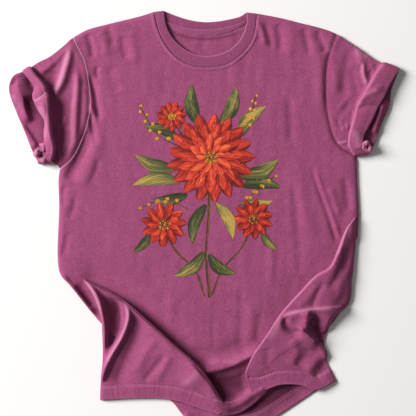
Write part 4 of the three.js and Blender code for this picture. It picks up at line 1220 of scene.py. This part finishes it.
def draw_blooms(bm):
    petal_rings(bm, np.array(BLOOM, float), BLOOM_RINGS, 6)
    for centre, reach, width, turn in DAISIES:
        rings = ((11, reach, width * 1.25, turn), (9, reach * 0.7, width, 0.5))
        petal_rings(bm, np.array(centre, float), rings, 6)


def draw_leaves(bm):
    for place, (start, tip, width, bow) in enumerate(LEAF_SPRAYS):
        tone = 0.2 + 0.22 * (place % 3 == 0) + 0.4 * (place % 4 == 1)
        printed_shape(bm, chest, start, tip, width, bow, 2 + place % 2, 0.9, tone)


def draw_stems(bm):
    for points, width in STEMS:
        printed_stem(bm, chest, points, width, 0)


def draw_seeds(bm):
    for heart, reach, count in ((BLOOM, 12, 44), *((centre, r * 0.26, 22) for centre, r, _, _ in DAISIES)):
        for seed in range(count):
            angle, far = seed * GOLDEN_ANGLE, reach * math.sqrt((seed + 0.5) / count)
            printed_dot(bm, chest, (heart[0] + far * math.cos(angle), heart[1] + far * math.sin(angle)),
                        1.7, 15 + seed % 2, 0.55 + 0.4 * (seed % 3 == 0))
    for points in SEED_SPRAYS:
        for seed, share in enumerate(np.linspace(0.3, 1, 9)):
            centre = along(smooth_line(points), np.array([share]))[0]
            side = (-1) ** seed * (8 - 5 * share)
            printed_dot(bm, chest, (centre[0] + side, centre[1] + side * 0.4), 4.2 - 1.4 * share, 4, 0.9)


chest = cloth_below([front_parts["body"]])
for motif, ink_colour, shades, draw in (
    ("stems", "brown", ("#2e1d12", "#5e3b20", "#94703a"), draw_stems),
    ("leaves", "olive", ("#2b2f1a", "#4c4f2a", "#76713a", "#b8964a"), draw_leaves),
    ("petals", "red", ("#5c100d", "#a32318", "#d5402a", "#ec7a45"), draw_blooms),
    ("seeds", "gold", ("#4a2413", "#a8691f", "#e0a840"), draw_seeds),
):
    printed_piece("print_" + motif, screen_ink(ink_colour + "_screen_ink", shades), draw)

# Surface, light and camera
# A plain surface of pale matt paint that the shirt lies on, soft daylight from a window at the upper left, and
# a camera that looks straight down at the shirt.
FLOOR_SIZE = 9
FLOOR_DROP = 0.0002
CAMERA_HEIGHT = 2.6
VIEW_WIDTH = 0.7488
VIEW_CENTRE = (0.0064, 0.0238)
floor_mesh = bpy.data.meshes.new("floor")
bm = bmesh.new()
bmesh.ops.create_grid(bm, x_segments=1, y_segments=1, size=FLOOR_SIZE)
bm.to_mesh(floor_mesh)
bm.free()
# Matt emulsion paint: it has no gloss, and takes the shirt's soft shadow.
paint = bpy.data.materials.new("pale_matt_paint")
paint.use_nodes = True
paint.node_tree.nodes["Principled BSDF"].inputs["Base Color"].default_value = linear("#e7e4e2")
paint.node_tree.nodes["Principled BSDF"].inputs["Roughness"].default_value = 0.8
floor_mesh.materials.append(paint)
floor = bpy.data.objects.new("floor", floor_mesh)
floor.location.z = -FLOOR_DROP
bpy.context.scene.collection.objects.link(floor)


def soft_light(name, place, target, size, power):
    data = bpy.data.lights.new(name, "AREA")
    data.shape = "DISK"
    data.size = size
    data.energy = power
    light = bpy.data.objects.new(name, data)
    light.location = place
    light.rotation_euler = (Vector(target) - Vector(place)).to_track_quat("-Z", "Y").to_euler()
    bpy.context.scene.collection.objects.link(light)


soft_light("window", (-5.3, 1.9, 3.4), (0, 0, 0), 3.3, 870)
world = bpy.data.worlds.new("room")
world.use_nodes = True
world.node_tree.nodes["Background"].inputs["Color"].default_value = linear("#f6f4f6")
world.node_tree.nodes["Background"].inputs["Strength"].default_value = 0.22
bpy.context.scene.world = world
bpy.context.scene.view_settings.view_transform = "Standard"

camera_data = bpy.data.cameras.new("camera")
camera_data.lens = camera_data.sensor_width * CAMERA_HEIGHT / VIEW_WIDTH
camera = bpy.data.objects.new("camera", camera_data)
camera.location = (*VIEW_CENTRE, CAMERA_HEIGHT)
bpy.context.scene.collection.objects.link(camera)
bpy.context.scene.camera = camera
